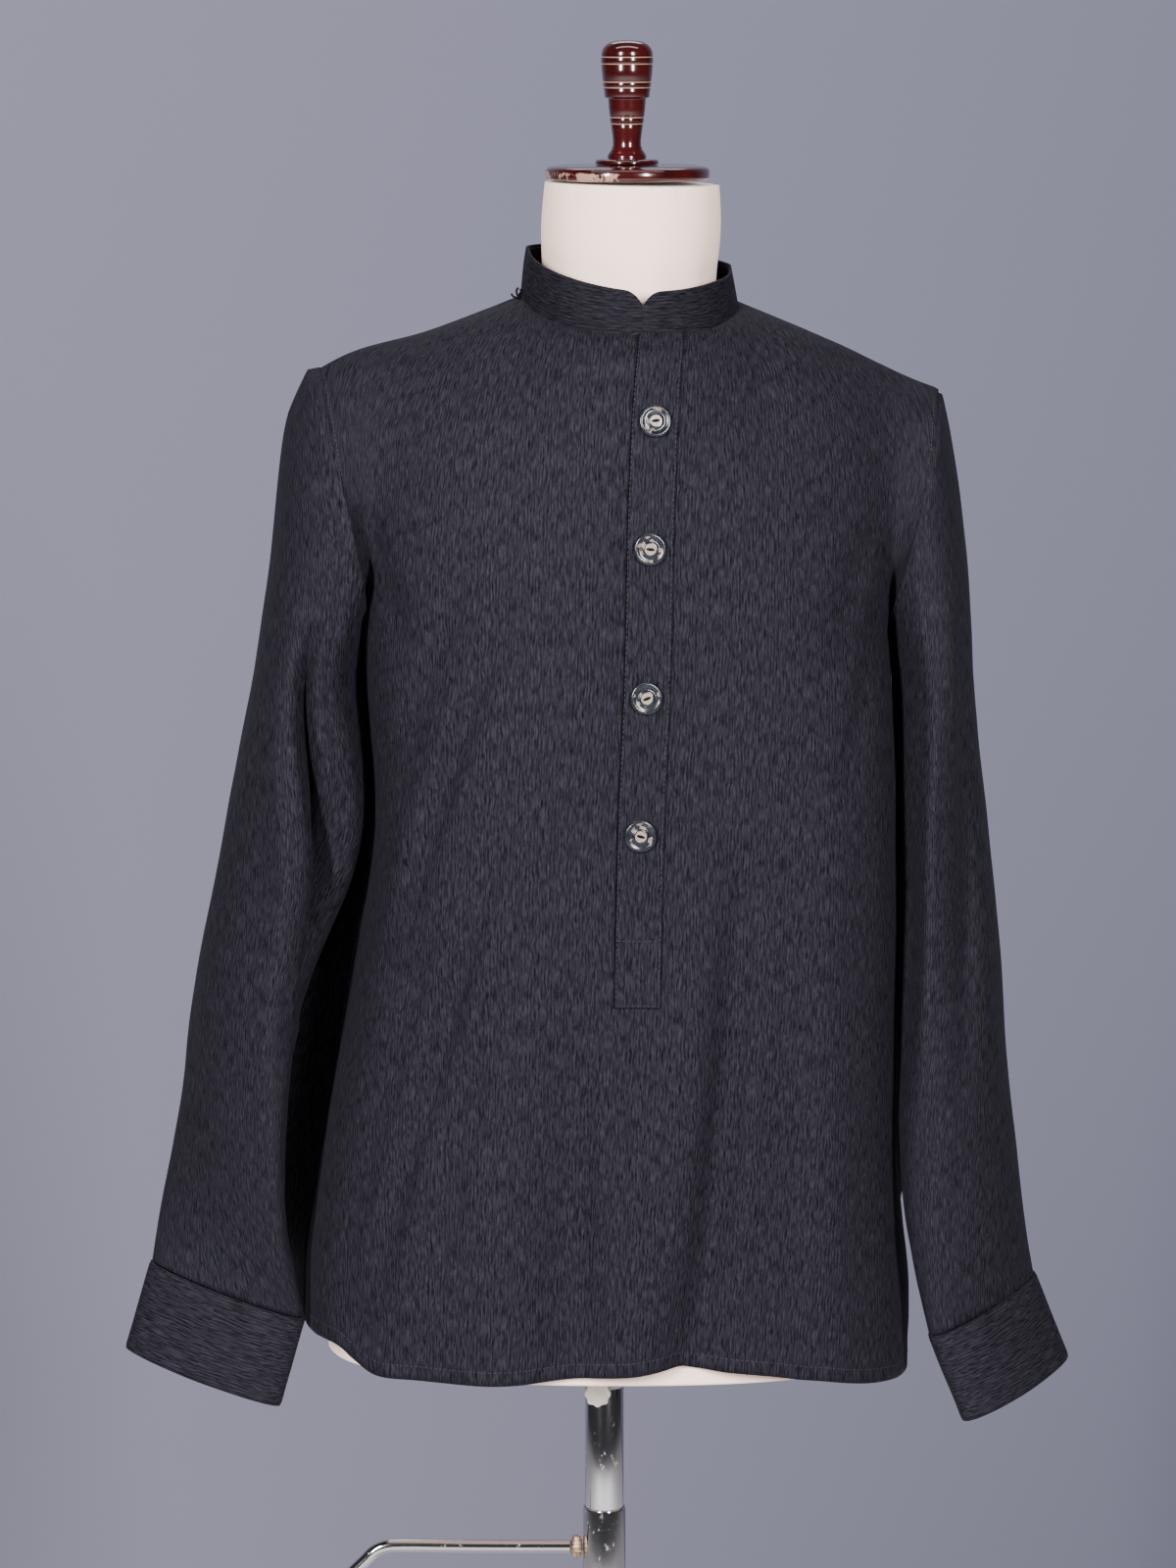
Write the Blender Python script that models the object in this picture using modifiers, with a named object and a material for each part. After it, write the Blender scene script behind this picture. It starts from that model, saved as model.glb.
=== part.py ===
"""A band-collar kurta worn by a limbless dress form on a pole.

Sizes are in millimetres here and become metres when a mesh is made. The floor is z = 0, the pole
stands on the origin and the kurta's front faces -Y. The dressed form leans and turns a little on
its pole: its rows are written upright and square, and stand_pose() puts them in place. The sleeves
hang free, so their rows are written as they hang.
"""
import math
from collections import namedtuple

import bmesh
import bpy
import numpy as np
from mathutils import Vector
from mathutils.bvhtree import BVHTree

MM = 0.001

# ---- driving sizes ---------------------------------------------------------------------------
CLOTH = 1.2            # one layer of the crepe
DOUBLED = 2.0          # collar, cuffs and placket: two layers and what stiffens them
FIT = 0.3              # between the stand's own pieces
SEAM = 0.6             # pieces lie this far apart at a seam, before their walls lean together
LAY = 0.35             # a piece that lies on another is held this far off it
LEAN = math.radians(1.25)
TURN = math.radians(5.0)
PIVOT_Z = 770.0        # the lean starts at the top of the pole

HEM_Z = 812.0
HEM_TILT = 0.036       # the hem rises to the left by this much for each mm across
TILT_TOP_Z = 1000.0
UNDERARM_Z = 1279.0
VENT_TOP_Z = 874.0
VENT_OPEN = 5.0
NECK_SIDE = Vector((67.0, 2.0, 1487.0))
SHOULDER_TIP = Vector((199.0, -18.0, 1436.0))
NECK_FRONT = Vector((0.0, -79.0, 1469.5))
NECK_BACK = Vector((0.0, 74.0, 1490.0))
UPPER_SPAN = 180.0     # about how far the cloth runs from the underarm level to the shoulder
NECK_SHARE = 0.34      # part of the top edge, from the middle out, that is neckline

PLACKET_WIDTH = 29.5
PLACKET_END_Z = 1049.0
SLIT_END_Z = 1093.0
SLIT_WIDTH = 1.0
PLACKET_THICK = 1.6
PLACKET_TOP_DROP = 0.2  # of a row: its top end stays under the collar's foot
PLACKET_LAP = 2.0      # the placket's free edge covers the slit by this much

COLLAR_GAP = 1.8
SHOULDER_SEAM = 0.6      # half the gap at the yoke's seams, whose walls lean together most
CUFF_SEAM = 1.0
ARM_SEAM = 1.2
FORM_EASE = 2.9        # what is left between a wall and the form where they lie closest
NEAR = 12.0            # a place this near a piece's outer side is judged against it
CUFF_HEIGHT = 59.0

BUTTON_HEIGHTS = (1416.8, 1338.7, 1245.8, 1159.1)
BUTTON_INSET = 14.5    # button's centre from the placket's free edge
BUTTON_LIFT = 0.2      # between a button and the placket

TUBE_RADIUS = 12.7
LOWER_TUBE_RADIUS = 14.0
TUBE_JOINT_Z = 690.0
TUBE_SLIDE = 60.0      # how far the upper tube reaches into the lower one
BORE_DEPTH = 190.0
POLE_TOP_Z = 772.7
SOCKET_RADIUS = 14.6
SOCKET_FOOT_Z = 773.0
NECK_CAP_Z = 1562.0
NECK_CAP_X = 14.3
FINIAL_X = 14.0
KNOB_SPOT = (-4.5, 771.5)   # across and up
KNOB_RADIUS = 8.0
KNOB_THICK = 7.0
KNOB_SCALLOPS = 8
KNOB_SCALLOP_DEPTH = 0.07   # of its radius
BEAD_RADIUS = 7.0
BEAD_STRETCH = (0.6, 0.9, 1.15)
BASE_RADIUS = 180.0
BASE_THICK = 8.0
ROD_RADIUS = 4.3
ROD_Z = 663.0

# ---- tables: one row per section or fold -------------------------------------------------------
BodyRow = namedtuple("BodyRow", "z left right front back corner")
KURTA_ROWS = (
    BodyRow(812, 198, 198, 127, 124, 2.6),
    BodyRow(860, 197, 197, 127, 124, 2.6),
    BodyRow(900, 192, 191, 127, 123, 2.7),
    BodyRow(960, 184, 185, 127, 121, 2.9),
    BodyRow(1050, 170, 181, 127, 119, 3.2),
    BodyRow(1140, 159, 178, 128, 118, 3.4),
    BodyRow(1215, 163, 175, 130, 117, 3.1),
    BodyRow(1279, 170, 170, 129, 116, 2.7),
)

FORM_ROWS = (
    BodyRow(796, 120, 120, 72, 70, 2.3),
    BodyRow(798, 160, 160, 100, 98, 2.4),
    BodyRow(806, 178, 178, 113, 110, 2.4),
    BodyRow(822, 186, 186, 118, 117, 2.4),
    BodyRow(862, 187, 187, 117, 118, 2.4),
    BodyRow(930, 176, 176, 110, 112, 2.4),
    BodyRow(1010, 156, 156, 102, 100, 2.4),
    BodyRow(1080, 148, 148, 100, 95, 2.4),
    BodyRow(1150, 152, 152, 108, 98, 2.4),
    BodyRow(1220, 158, 158, 118, 106, 2.4),
    BodyRow(1280, 164, 164, 121, 110, 2.4),
    BodyRow(1330, 171, 171, 118, 110, 2.2),
    BodyRow(1380, 184, 184, 111, 106, 2.0),
    BodyRow(1410, 190, 190, 104, 101, 1.8),
    BodyRow(1430, 190, 190, 98, 97, 1.6),
    BodyRow(1443, 176, 176, 93, 93, 1.55),
    BodyRow(1456, 143, 143, 87, 87, 1.55),
    BodyRow(1468, 108, 108, 79, 79, 1.7),
    BodyRow(1478, 78, 78, 70, 69, 2.0),
    BodyRow(1487, 64, 64, 67, 66, 2.0),
    BodyRow(1498, 59, 59, 63, 62, 2.0),
    BodyRow(1533, 56.4, 56.4, 60, 58, 2.0),
    BodyRow(1560, 55.6, 55.6, 58, 57, 2.0),
)

# the form's own rings, closer together where its shoulders turn into its neck
FORM_HEIGHTS = (
    796, 798, 802, 809, 822, 846, 882, 930, 985, 1040, 1095, 1150, 1205, 1255, 1300,
    1340, 1375, 1402, 1422, 1434, 1444, 1454, 1464, 1471, 1476, 1480, 1484, 1490, 1502, 1530, 1560,
)

# the armhole seam from the shoulder tip, down the front, under the arm and up the back
ArmholePoint = namedtuple("ArmholePoint", "x y z")
ARMHOLE_FRONT = (
    ArmholePoint(199, -18, 1436),
    ArmholePoint(195, -42, 1417),
    ArmholePoint(190, -60, 1393),
    ArmholePoint(184, -72, 1362),
    ArmholePoint(177, -75, 1331),
    ArmholePoint(171, -64, 1302),
    ArmholePoint(169, -36, 1285),
    ArmholePoint(170, 0, 1279),
)
ARMHOLE_BACK = (
    ArmholePoint(170, 0, 1279),
    ArmholePoint(170, 38, 1286),
    ArmholePoint(173, 66, 1306),
    ArmholePoint(179, 77, 1337),
    ArmholePoint(187, 72, 1374),
    ArmholePoint(194, 52, 1410),
    ArmholePoint(198, 20, 1432),
    ArmholePoint(199, -18, 1436),
)

# where the middle front opening lies: the cloth has swung off the form's own middle
SlitRow = namedtuple("SlitRow", "z x")
SLIT_ROWS = (
    SlitRow(812, -0.7),
    SlitRow(1049, 7.1),
    SlitRow(1160, 9.4),
    SlitRow(1259, 13.4),
    SlitRow(1375, 14.7),
    SlitRow(1436, 17.1),
    SlitRow(1472, 21.0),
)

# soft folds, each from one point of the cloth to another; a ridge stands out, a trough goes in
Fold = namedtuple("Fold", "name x1 z1 x2 z2 width out")
FRONT_FOLDS = (
    Fold("chest slant", -76, 1330, -128, 1200, 26, -5),
    Fold("waist slant", -62, 1280, -132, 1075, 24, -6),
    Fold("hip slant", -80, 1125, -150, 850, 26, -8),
    Fold("hip ridge", -112, 960, -142, 832, 18, 5),
    Fold("middle trough", -22, 990, -20, 812, 28, -6),
    Fold("left hem ridge", -66, 930, -66, 812, 30, 7),
    Fold("middle hem ridge", 18, 930, 18, 812, 16, 5),
    Fold("long right trough", 84, 1110, 48, 812, 26, -10),
    Fold("right hem ridge", 150, 960, 156, 812, 34, 5),
)
BACK_FOLDS = (
    Fold("back middle trough", 6, 1130, -4, 812, 30, -7),
    Fold("back left ridge", -70, 1100, -84, 812, 34, 6),
    Fold("back right ridge", 78, 1120, 92, 812, 34, 6),
    Fold("back left slant", -110, 1240, -140, 950, 26, -5),
    Fold("back right slant", 112, 1230, 146, 960, 26, -5),
)

# the band collar, from its left front end round the back to its right front end
CollarRow = namedtuple("CollarRow", "bearing height lean")
COLLAR_ROWS = (
    CollarRow(0, 25, 3.0),
    CollarRow(45, 30, 3.5),
    CollarRow(90, 31, 3.0),
    CollarRow(180, 30, 3.0),
    CollarRow(270, 26, 4.0),
    CollarRow(315, 28, 4.0),
    CollarRow(360, 25, 3.0),
)
COLLAR_END_ROUND = 12.0
COLLAR_END_DROP = 14.0

# the sleeves as they hang: centre, half widths, turn of the wide way from front-to-back, tilt
SleeveRow = namedtuple("SleeveRow", "z x y wide thin turn tilt")
LEFT_SLEEVE = (
    SleeveRow(1240, -192.5, -6, 78, 32.5, 0, 0),
    SleeveRow(1185, -198.0, -12, 75, 37.0, 8, 0),
    SleeveRow(1130, -203.5, -18, 70, 38.0, 16, 0),
    SleeveRow(1060, -215.5, -25, 62, 35.0, 28, 2),
    SleeveRow(1000, -225.0, -31, 60, 31.0, 34, 4),
    SleeveRow(940, -236.0, -36, 57, 26.0, 42, 8),
    SleeveRow(890, -243.0, -40, 55, 21.0, 56, 14),
    SleeveRow(848, -244.5, -42, 53, 16.5, 74, 17.5),
)
RIGHT_SLEEVE = (
    SleeveRow(1240, 213.5, 4, 78, 23.5, 0, 0),
    SleeveRow(1177, 216.5, 0, 72, 25.0, 5, 0),
    SleeveRow(1110, 220.5, -6, 68, 27.5, 9, 0),
    SleeveRow(1049, 224.0, -12, 65, 29.0, 13, 2),
    SleeveRow(984, 229.0, -18, 61, 29.5, 18, 3),
    SleeveRow(930, 234.0, -23, 58, 28.5, 24, 7),
    SleeveRow(880, 240.0, -28, 56, 23.0, 31, 13),
    SleeveRow(836, 245.5, -32, 55, 17.0, 39, 18),
)
SleeveCut = namedtuple("SleeveCut", "rows side bulge cuff_out cuff_down")
SLEEVES = {
    "left": SleeveCut(LEFT_SLEEVE, -1, 5.0, -17.0, -58.5),
    "right": SleeveCut(RIGHT_SLEEVE, 1, 5.0, 23.0, -56.5),
}
SleeveFold = namedtuple("SleeveFold", "name top low bearing_top bearing_low width out")
SLEEVE_FOLDS = {
    "left": (
        SleeveFold("long front trough", 1235, 1010, 118, 112, 17, -14),
        SleeveFold("outer ridge", 1230, 880, 82, 76, 16, 4),
    ),
    "right": (
        SleeveFold("front ridge", 1235, 950, 96, 92, 18, 4),
    ),
}
UNDERARM_ARCH = 6.0

# turned pieces: radius at each height above the piece's foot
TurnRow = namedtuple("TurnRow", "height radius")
CAP_PROFILE = (
    TurnRow(0.0, 50.4),
    TurnRow(1.2, 52.0),
    TurnRow(6.2, 52.6),
    TurnRow(8.6, 50.6),
    TurnRow(9.6, 44.0),
)
FINIAL_PROFILE = (
    TurnRow(0.0, 20.3),
    TurnRow(3.0, 20.3),
    TurnRow(3.6, 12.4),
    TurnRow(7.0, 11.6),
    TurnRow(12.5, 9.0),
    TurnRow(20.0, 9.2),
    TurnRow(32.0, 11.2),
    TurnRow(42.6, 12.2),
    TurnRow(43.4, 14.4),
    TurnRow(58.0, 15.8),
    TurnRow(68.0, 16.7),
    TurnRow(74.0, 14.6),
    TurnRow(78.5, 9.0),
)
BUTTON_PROFILE = (
    TurnRow(0.0, 8.6),
    TurnRow(0.5, 10.0),
    TurnRow(1.7, 10.3),
    TurnRow(2.7, 9.6),
    TurnRow(3.0, 8.6),
    TurnRow(2.0, 5.4),
    TurnRow(2.9, 4.6),
    TurnRow(3.2, 3.4),
)

# counts along and across each piece
LOWER_STEPS = 14
UPPER_STEPS = 10
YOKE_STEP = 7          # the yoke begins at this upper step of the back
SIDE_COLUMNS = 10
BACK_COLUMNS = 20
SLIT_COLUMN = SIDE_COLUMNS + 1
PLACKET_COLUMNS = slice(SIDE_COLUMNS, SIDE_COLUMNS + 6)
DENSE = 121
RING = 2 * UPPER_STEPS

PARTS = "kurta on a dress form"
Finish = namedtuple("Finish", "colour roughness metallic")
FINISHES = {
    "crepe": Finish((0.040, 0.040, 0.052), 0.85, 0.0),
    "button": Finish((0.030, 0.032, 0.060), 0.25, 0.0),
    "jersey": Finish((0.86, 0.80, 0.75), 0.9, 0.0),
    "lacquer": Finish((0.24, 0.035, 0.035), 0.15, 0.0),
    "chrome": Finish((0.62, 0.61, 0.62), 0.12, 1.0),
    "grey plastic": Finish((0.35, 0.35, 0.36), 0.5, 0.0),
    "ivory plastic": Finish((0.75, 0.72, 0.66), 0.45, 0.0),
    "weld": Finish((0.36, 0.25, 0.18), 0.55, 1.0),
    "painted steel": Finish((0.30, 0.30, 0.31), 0.4, 1.0),
}


# ---- small tools -------------------------------------------------------------------------------
def clear_scene():
    for thing in list(bpy.data.objects):
        bpy.data.objects.remove(thing, do_unlink=True)


def finish(name):
    found = bpy.data.materials.get(name)
    if found:
        return found
    look = FINISHES[name]
    made = bpy.data.materials.new(name)
    made.use_nodes = True
    shader = made.node_tree.nodes["Principled BSDF"]
    shader.inputs["Base Color"].default_value = (*look.colour, 1.0)
    shader.inputs["Roughness"].default_value = look.roughness
    shader.inputs["Metallic"].default_value = look.metallic
    return made


def place(name, mesh, look, parts):
    piece = bpy.data.objects.new(name, mesh)
    piece.data.materials.append(finish(look))
    parts.objects.link(piece)
    return piece


def smooth_between(rows, key):
    """One row at a height between the table's rows, on a smooth curve through them."""
    heights = np.array([row[0] for row in rows], float)
    values = np.array([row[1:] for row in rows], float)
    order = np.argsort(heights)
    heights = heights[order]
    values = values[order]
    key = min(max(key, heights[0]), heights[-1])
    low = int(min(np.searchsorted(heights, key, "right") - 1, len(heights) - 2))
    slopes = np.gradient(values, heights, axis=0)
    span = heights[low + 1] - heights[low]
    t = (key - heights[low]) / span
    start = (2 * t**3 - 3 * t**2 + 1) * values[low] + (t**3 - 2 * t**2 + t) * span * slopes[low]
    end = (3 * t**2 - 2 * t**3) * values[low + 1] + (t**3 - t**2) * span * slopes[low + 1]
    return type(rows[0])(key, *(start + end))


def spread(points, count):
    """The same line with its points at even distances along it."""
    points = np.asarray(points, float)
    return at_distances(points, np.linspace(0.0, length_along(points)[-1], count))


def length_along(points):
    return np.concatenate(([0.0], np.cumsum(np.linalg.norm(np.diff(points, axis=0), axis=1))))


def at_distances(points, distances):
    along = length_along(points)
    return np.stack([np.interp(distances, along, points[:, axis]) for axis in range(3)], axis=1)


def rounded_line(knots, per_span=12):
    """A smooth line through a short list of points."""
    knots = np.asarray(knots, float)
    ends = np.vstack((2 * knots[0] - knots[1], knots, 2 * knots[-1] - knots[-2]))
    line = []
    for before, start, end, after in zip(ends, ends[1:], ends[2:], ends[3:]):
        for t in np.linspace(0.0, 1.0, per_span, endpoint=False):
            line.append(0.5 * (2 * start + (end - before) * t
                               + (2 * before - 5 * start + 4 * end - after) * t**2
                               + (3 * start - before - 3 * end + after) * t**3))
    line.append(knots[-1])
    return np.array(line)


def stand_pose(points):
    """Turn the upright rows with the form on its pole, then lean them."""
    points = np.asarray(points, float)
    x = points[..., 0] * math.cos(TURN) - points[..., 1] * math.sin(TURN)
    y = points[..., 0] * math.sin(TURN) + points[..., 1] * math.cos(TURN)
    z = points[..., 2] - PIVOT_Z
    leaned_x = x * math.cos(LEAN) + z * math.sin(LEAN)
    leaned_z = z * math.cos(LEAN) - x * math.sin(LEAN) + PIVOT_Z
    return np.stack([leaned_x, y, leaned_z], axis=-1)


def sheet_mesh(name, points, closed=False, filled=False):
    """A grid of quads moved onto rows of points, its outer side out; closed rows become a tube."""
    points = np.asarray(points, float)
    rows, columns = points.shape[:2]
    if closed:
        points = np.concatenate((points, points[:, :1]), axis=1)
        columns += 1
    sheet = bmesh.new()
    bmesh.ops.create_grid(sheet, x_segments=columns - 1, y_segments=rows - 1, size=0.5)
    sheet.verts.ensure_lookup_table()
    for vertex, where in zip(sheet.verts, points.reshape(-1, 3)):
        vertex.co = Vector(where) * MM
    if closed:
        bmesh.ops.remove_doubles(sheet, verts=sheet.verts, dist=1e-6)
    if filled:
        rims = [edge for edge in sheet.edges if edge.is_boundary]
        bmesh.ops.holes_fill(sheet, edges=rims, sides=0)
        bmesh.ops.recalc_face_normals(sheet, faces=sheet.faces)
    mesh = bpy.data.meshes.new(name)
    sheet.to_mesh(mesh)
    sheet.free()
    return mesh


def wall(piece, thickness, outward=False):
    """Give a sheet its thickness, inward from the outer side or outward from the inner side."""
    solid = piece.modifiers.new("wall", "SOLIDIFY")
    solid.thickness = thickness * MM
    solid.offset = 1.0 if outward else -1.0
    solid.use_even_offset = True
    return piece


def turned(name, profile, look, parts, steps=28, at=(0.0, 0.0, 0.0)):
    """A solid of revolution: its profile, capped on its axis, swept by a Screw."""
    line = bpy.data.meshes.new(name)
    outline = [(0.0, profile[-1].height)]
    outline += [(row.radius, row.height) for row in reversed(profile)]
    outline += [(0.0, profile[0].height)]
    shape = bmesh.new()
    verts = [shape.verts.new((radius * MM, 0.0, height * MM)) for radius, height in outline]
    for first, second in zip(verts, verts[1:]):
        shape.edges.new((first, second))
    shape.to_mesh(line)
    shape.free()
    piece = place(name, line, look, parts)
    sweep = piece.modifiers.new("turn", "SCREW")
    sweep.steps = steps
    sweep.render_steps = steps
    sweep.use_merge_vertices = True
    sweep.merge_threshold = 0.00001
    sweep.use_smooth_shade = True
    piece.location = Vector(at) * MM
    return piece


def bar(name, route, radius, look, parts, resolution=3):
    """A round bar along a short route."""
    line = bpy.data.curves.new(name, "CURVE")
    line.dimensions = "3D"
    line.bevel_depth = radius * MM
    line.bevel_resolution = resolution
    line.use_fill_caps = True
    spline = line.splines.new("POLY")
    spline.points.add(len(route) - 1)
    for point, where in zip(spline.points, route):
        point.co = (*(Vector(where) * MM), 1.0)
    return place(name, line, look, parts)


# ---- the kurta's body --------------------------------------------------------------------------
def half_ring(row, front, count=DENSE):
    """One side of a body section, from the wearer's right seam to the left, evenly spaced."""
    way = -1.0 if front else 1.0
    depth = row.front if front else row.back
    bearings = np.linspace(0.0, math.pi, count)
    across = -np.cos(bearings)
    power = 2.0 / row.corner
    reach = np.where(across < 0.0, row.left, row.right)
    x = reach * np.sign(across) * np.abs(across) ** power
    y = way * depth * np.abs(np.sin(bearings)) ** power
    return spread(np.stack([x, y, np.full(count, row.z)], axis=1), count)


def neckline(front):
    """The neck seam of one side, from the left shoulder's neck point to the right's."""
    middle = NECK_FRONT if front else NECK_BACK
    bearings = np.linspace(-math.pi / 2, math.pi / 2, DENSE)
    sag = 1.0 - np.cos(bearings)
    x = NECK_SIDE.x * np.sin(bearings)
    y = middle.y + (NECK_SIDE.y - middle.y) * sag
    z = middle.z + (NECK_SIDE.z - middle.z) * sag**1.3
    return spread(np.stack([x, y, z], axis=1), DENSE)


def top_edge(front, count=DENSE):
    """Shoulder seam, neckline, shoulder seam."""
    tip = np.array(SHOULDER_TIP)
    neck = np.array(NECK_SIDE)
    mirror = np.array((-1.0, 1.0, 1.0))
    middle = neckline(front)
    share = np.linspace(-1.0, 1.0, count)
    line = np.empty((count, 3))
    for index, s in enumerate(share):
        if abs(s) < NECK_SHARE:
            spot = (s / NECK_SHARE + 1.0) / 2.0 * (DENSE - 1)
            low = min(int(spot), DENSE - 2)
            line[index] = middle[low] + (middle[low + 1] - middle[low]) * (spot - low)
        else:
            t = (abs(s) - NECK_SHARE) / (1.0 - NECK_SHARE)
            point = neck + (tip - neck) * t
            line[index] = point if s > 0 else point * mirror
    return line


def armhole_edge(front):
    """The armhole seam from under the arm to the shoulder tip, one point per upper step."""
    knots = ARMHOLE_FRONT if front else ARMHOLE_BACK
    line = rounded_line(knots)
    if front:
        line = line[::-1]
    return line


def armhole_at(front, rise):
    line = armhole_edge(front)
    return at_distances(line, np.array([rise * length_along(line)[-1]]))[0]


def upper_row(front, rise):
    """A row above the underarm: the chest row and the top edge joined by rounded arcs."""
    chest = half_ring(KURTA_ROWS[-1], front)
    top = top_edge(front)
    angle = rise * math.pi / 2
    climb = math.sin(angle) ** 0.92
    tuck = 1.0 - math.cos(angle) ** 0.92
    row = np.empty_like(chest)
    row[:, 0] = chest[:, 0] + (top[:, 0] - chest[:, 0]) * tuck**0.8
    row[:, 1] = chest[:, 1] + (top[:, 1] - chest[:, 1]) * tuck
    row[:, 2] = chest[:, 2] + (top[:, 2] - chest[:, 2]) * climb
    edge = armhole_at(front, rise)
    share = np.abs(np.linspace(-1.0, 1.0, len(row)))
    pull = share**5
    for side, end in ((-1, 0), (1, -1)):
        target = edge * np.array((side, 1.0, 1.0))
        shift = target - row[end]
        half = (np.linspace(-1.0, 1.0, len(row)) * side) > 0
        row[half] += pull[half, None] * shift
    return row


def slit_x(z):
    return smooth_between(SLIT_ROWS, z).x


def fold_out(folds, x, z):
    """How far the folds move the cloth outward at a place."""
    total = np.zeros_like(x)
    for fold in folds:
        start = np.array((fold.x1, fold.z1), float)
        run = np.array((fold.x2, fold.z2), float) - start
        t = ((x - start[0]) * run[0] + (z - start[1]) * run[1]) / (run @ run)
        held = np.clip(t, 0.0, 1.0)
        off = np.hypot(x - start[0] - held * run[0], z - start[1] - held * run[1])
        ease = 0.35 + 0.65 * np.sin(held * math.pi * 0.5)
        total += fold.out * ease * np.exp(-((off / fold.width) ** 2))
    return total


def body_row(front, level):
    """A posed and folded row. Levels run 0 to 1 below the underarm and 1 to 2 above it."""
    if level <= 1.0:
        z = HEM_Z + (UNDERARM_Z - HEM_Z) * level
        row = half_ring(smooth_between(KURTA_ROWS, z), front)
        row[:, 2] -= row[:, 0] * HEM_TILT * max(0.0, (TILT_TOP_Z - z) / (TILT_TOP_Z - HEM_Z))
    else:
        row = upper_row(front, level - 1.0)
    row = stand_pose(row)
    folds = FRONT_FOLDS if front else BACK_FOLDS
    way = -1.0 if front else 1.0
    facing = np.clip(way * row[:, 1] / 90.0, 0.0, 1.0)
    row[:, 1] += way * facing * fold_out(folds, row[:, 0], row[:, 2])
    return row


def side_inset(level):
    """Half the gap at the side seam; below the vent's top the edges part."""
    z = HEM_Z + (UNDERARM_Z - HEM_Z) * min(level, 1.0)
    opening = max(0.0, (VENT_TOP_Z - z) / (VENT_TOP_Z - HEM_Z))
    return SEAM / 2 + VENT_OPEN / 2 * opening


def front_distances(row, level):
    """Where the front's columns lie along a row, measured from its left edge."""
    along = length_along(row)
    order = np.argsort(row[:, 0])
    middle = np.interp(slit_x(float(np.median(row[:, 2]))), row[order, 0], along[order])
    inset = side_inset(level)
    left = np.linspace(inset, middle - PLACKET_LAP, SIDE_COLUMNS + 1)
    placket_end = middle - PLACKET_LAP + PLACKET_WIDTH
    strip = [middle, middle + SLIT_WIDTH, middle + 10.0, middle + 19.0]
    right = np.linspace(placket_end, along[-1] - inset, SIDE_COLUMNS + 1)
    return np.concatenate((left, strip, right))


def front_levels():
    lower = np.linspace(0.0, 1.0, LOWER_STEPS + 1)
    upper = np.linspace(1.0, 2.0, UPPER_STEPS + 1)[1:]
    levels = np.concatenate((lower, upper))
    levels[-1] -= SHOULDER_SEAM / UPPER_SPAN
    return levels


def front_points():
    rows = []
    for level in front_levels():
        row = body_row(True, level)
        rows.append(at_distances(row, front_distances(row, level)))
    return np.array(rows)


def back_points(levels):
    rows = []
    for level in levels:
        row = body_row(False, level)
        inset = side_inset(level)
        total = length_along(row)[-1]
        rows.append(at_distances(row, np.linspace(inset, total - inset, BACK_COLUMNS + 1)))
    return np.array(rows)[:, ::-1]


def build_front(parts):
    points = front_points()
    mesh = sheet_mesh("front panel", points)
    sheet = bmesh.new()
    sheet.from_mesh(mesh)
    sheet.verts.ensure_lookup_table()
    columns = points.shape[1]
    gone = []
    for face in sheet.faces:
        spots = [divmod(vertex.index, columns) for vertex in face.verts]
        low_z = min(points[row, column, 2] for row, column in spots)
        if min(column for _, column in spots) == SLIT_COLUMN and low_z > SLIT_END_Z - 20.0:
            if max(column for _, column in spots) == SLIT_COLUMN + 1:
                gone.append(face)
    bmesh.ops.delete(sheet, geom=gone, context="FACES")
    sheet.to_mesh(mesh)
    sheet.free()
    wall(place("front_panel", mesh, "crepe", parts), CLOTH)
    return points


def build_back(parts):
    lower = np.linspace(0.0, 1.0, LOWER_STEPS + 1)
    upper = np.linspace(1.0, 2.0, UPPER_STEPS + 1)
    half_gap = SHOULDER_SEAM / UPPER_SPAN
    panel = np.concatenate((lower, upper[1:YOKE_STEP], [upper[YOKE_STEP] - half_gap]))
    yoke = np.concatenate(([upper[YOKE_STEP] + half_gap], upper[YOKE_STEP + 1:]))
    yoke[-1] -= half_gap
    panel_points = back_points(panel)
    yoke_points = back_points(yoke)
    wall(place("back_panel", sheet_mesh("back panel", panel_points), "crepe", parts), CLOTH)
    wall(place("back_yoke", sheet_mesh("back yoke", yoke_points), "crepe", parts), CLOTH)


# ---- sleeves and cuffs -------------------------------------------------------------------------
def armhole_loop(side):
    """The whole armhole, posed: shoulder tip, front, under the arm, back."""
    front = at_distances(rounded_line(ARMHOLE_FRONT),
                         np.linspace(0.0, 1.0, UPPER_STEPS + 1)
                         * length_along(rounded_line(ARMHOLE_FRONT))[-1])
    back = at_distances(rounded_line(ARMHOLE_BACK),
                        np.linspace(0.0, 1.0, UPPER_STEPS + 1)
                        * length_along(rounded_line(ARMHOLE_BACK))[-1])
    loop = np.vstack((front, back[1:-1])) * np.array((side, 1.0, 1.0))
    return stand_pose(loop)


def sleeve_ring(row, side, bearings):
    """A section of a hanging sleeve. Bearing 0 is its outer side and 90 degrees its front."""
    turn = math.radians(row.turn)
    wide = np.sin(bearings)
    thin = np.cos(bearings)
    out = row.thin * thin * math.cos(turn) - row.wide * wide * math.sin(turn)
    ahead = row.wide * wide * math.cos(turn) + row.thin * thin * math.sin(turn)
    tilt = math.radians(row.tilt)
    x = row.x + side * out * math.cos(tilt)
    y = row.y - ahead
    z = row.z + out * math.sin(tilt)
    return np.stack([x, y, z], axis=1)


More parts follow.
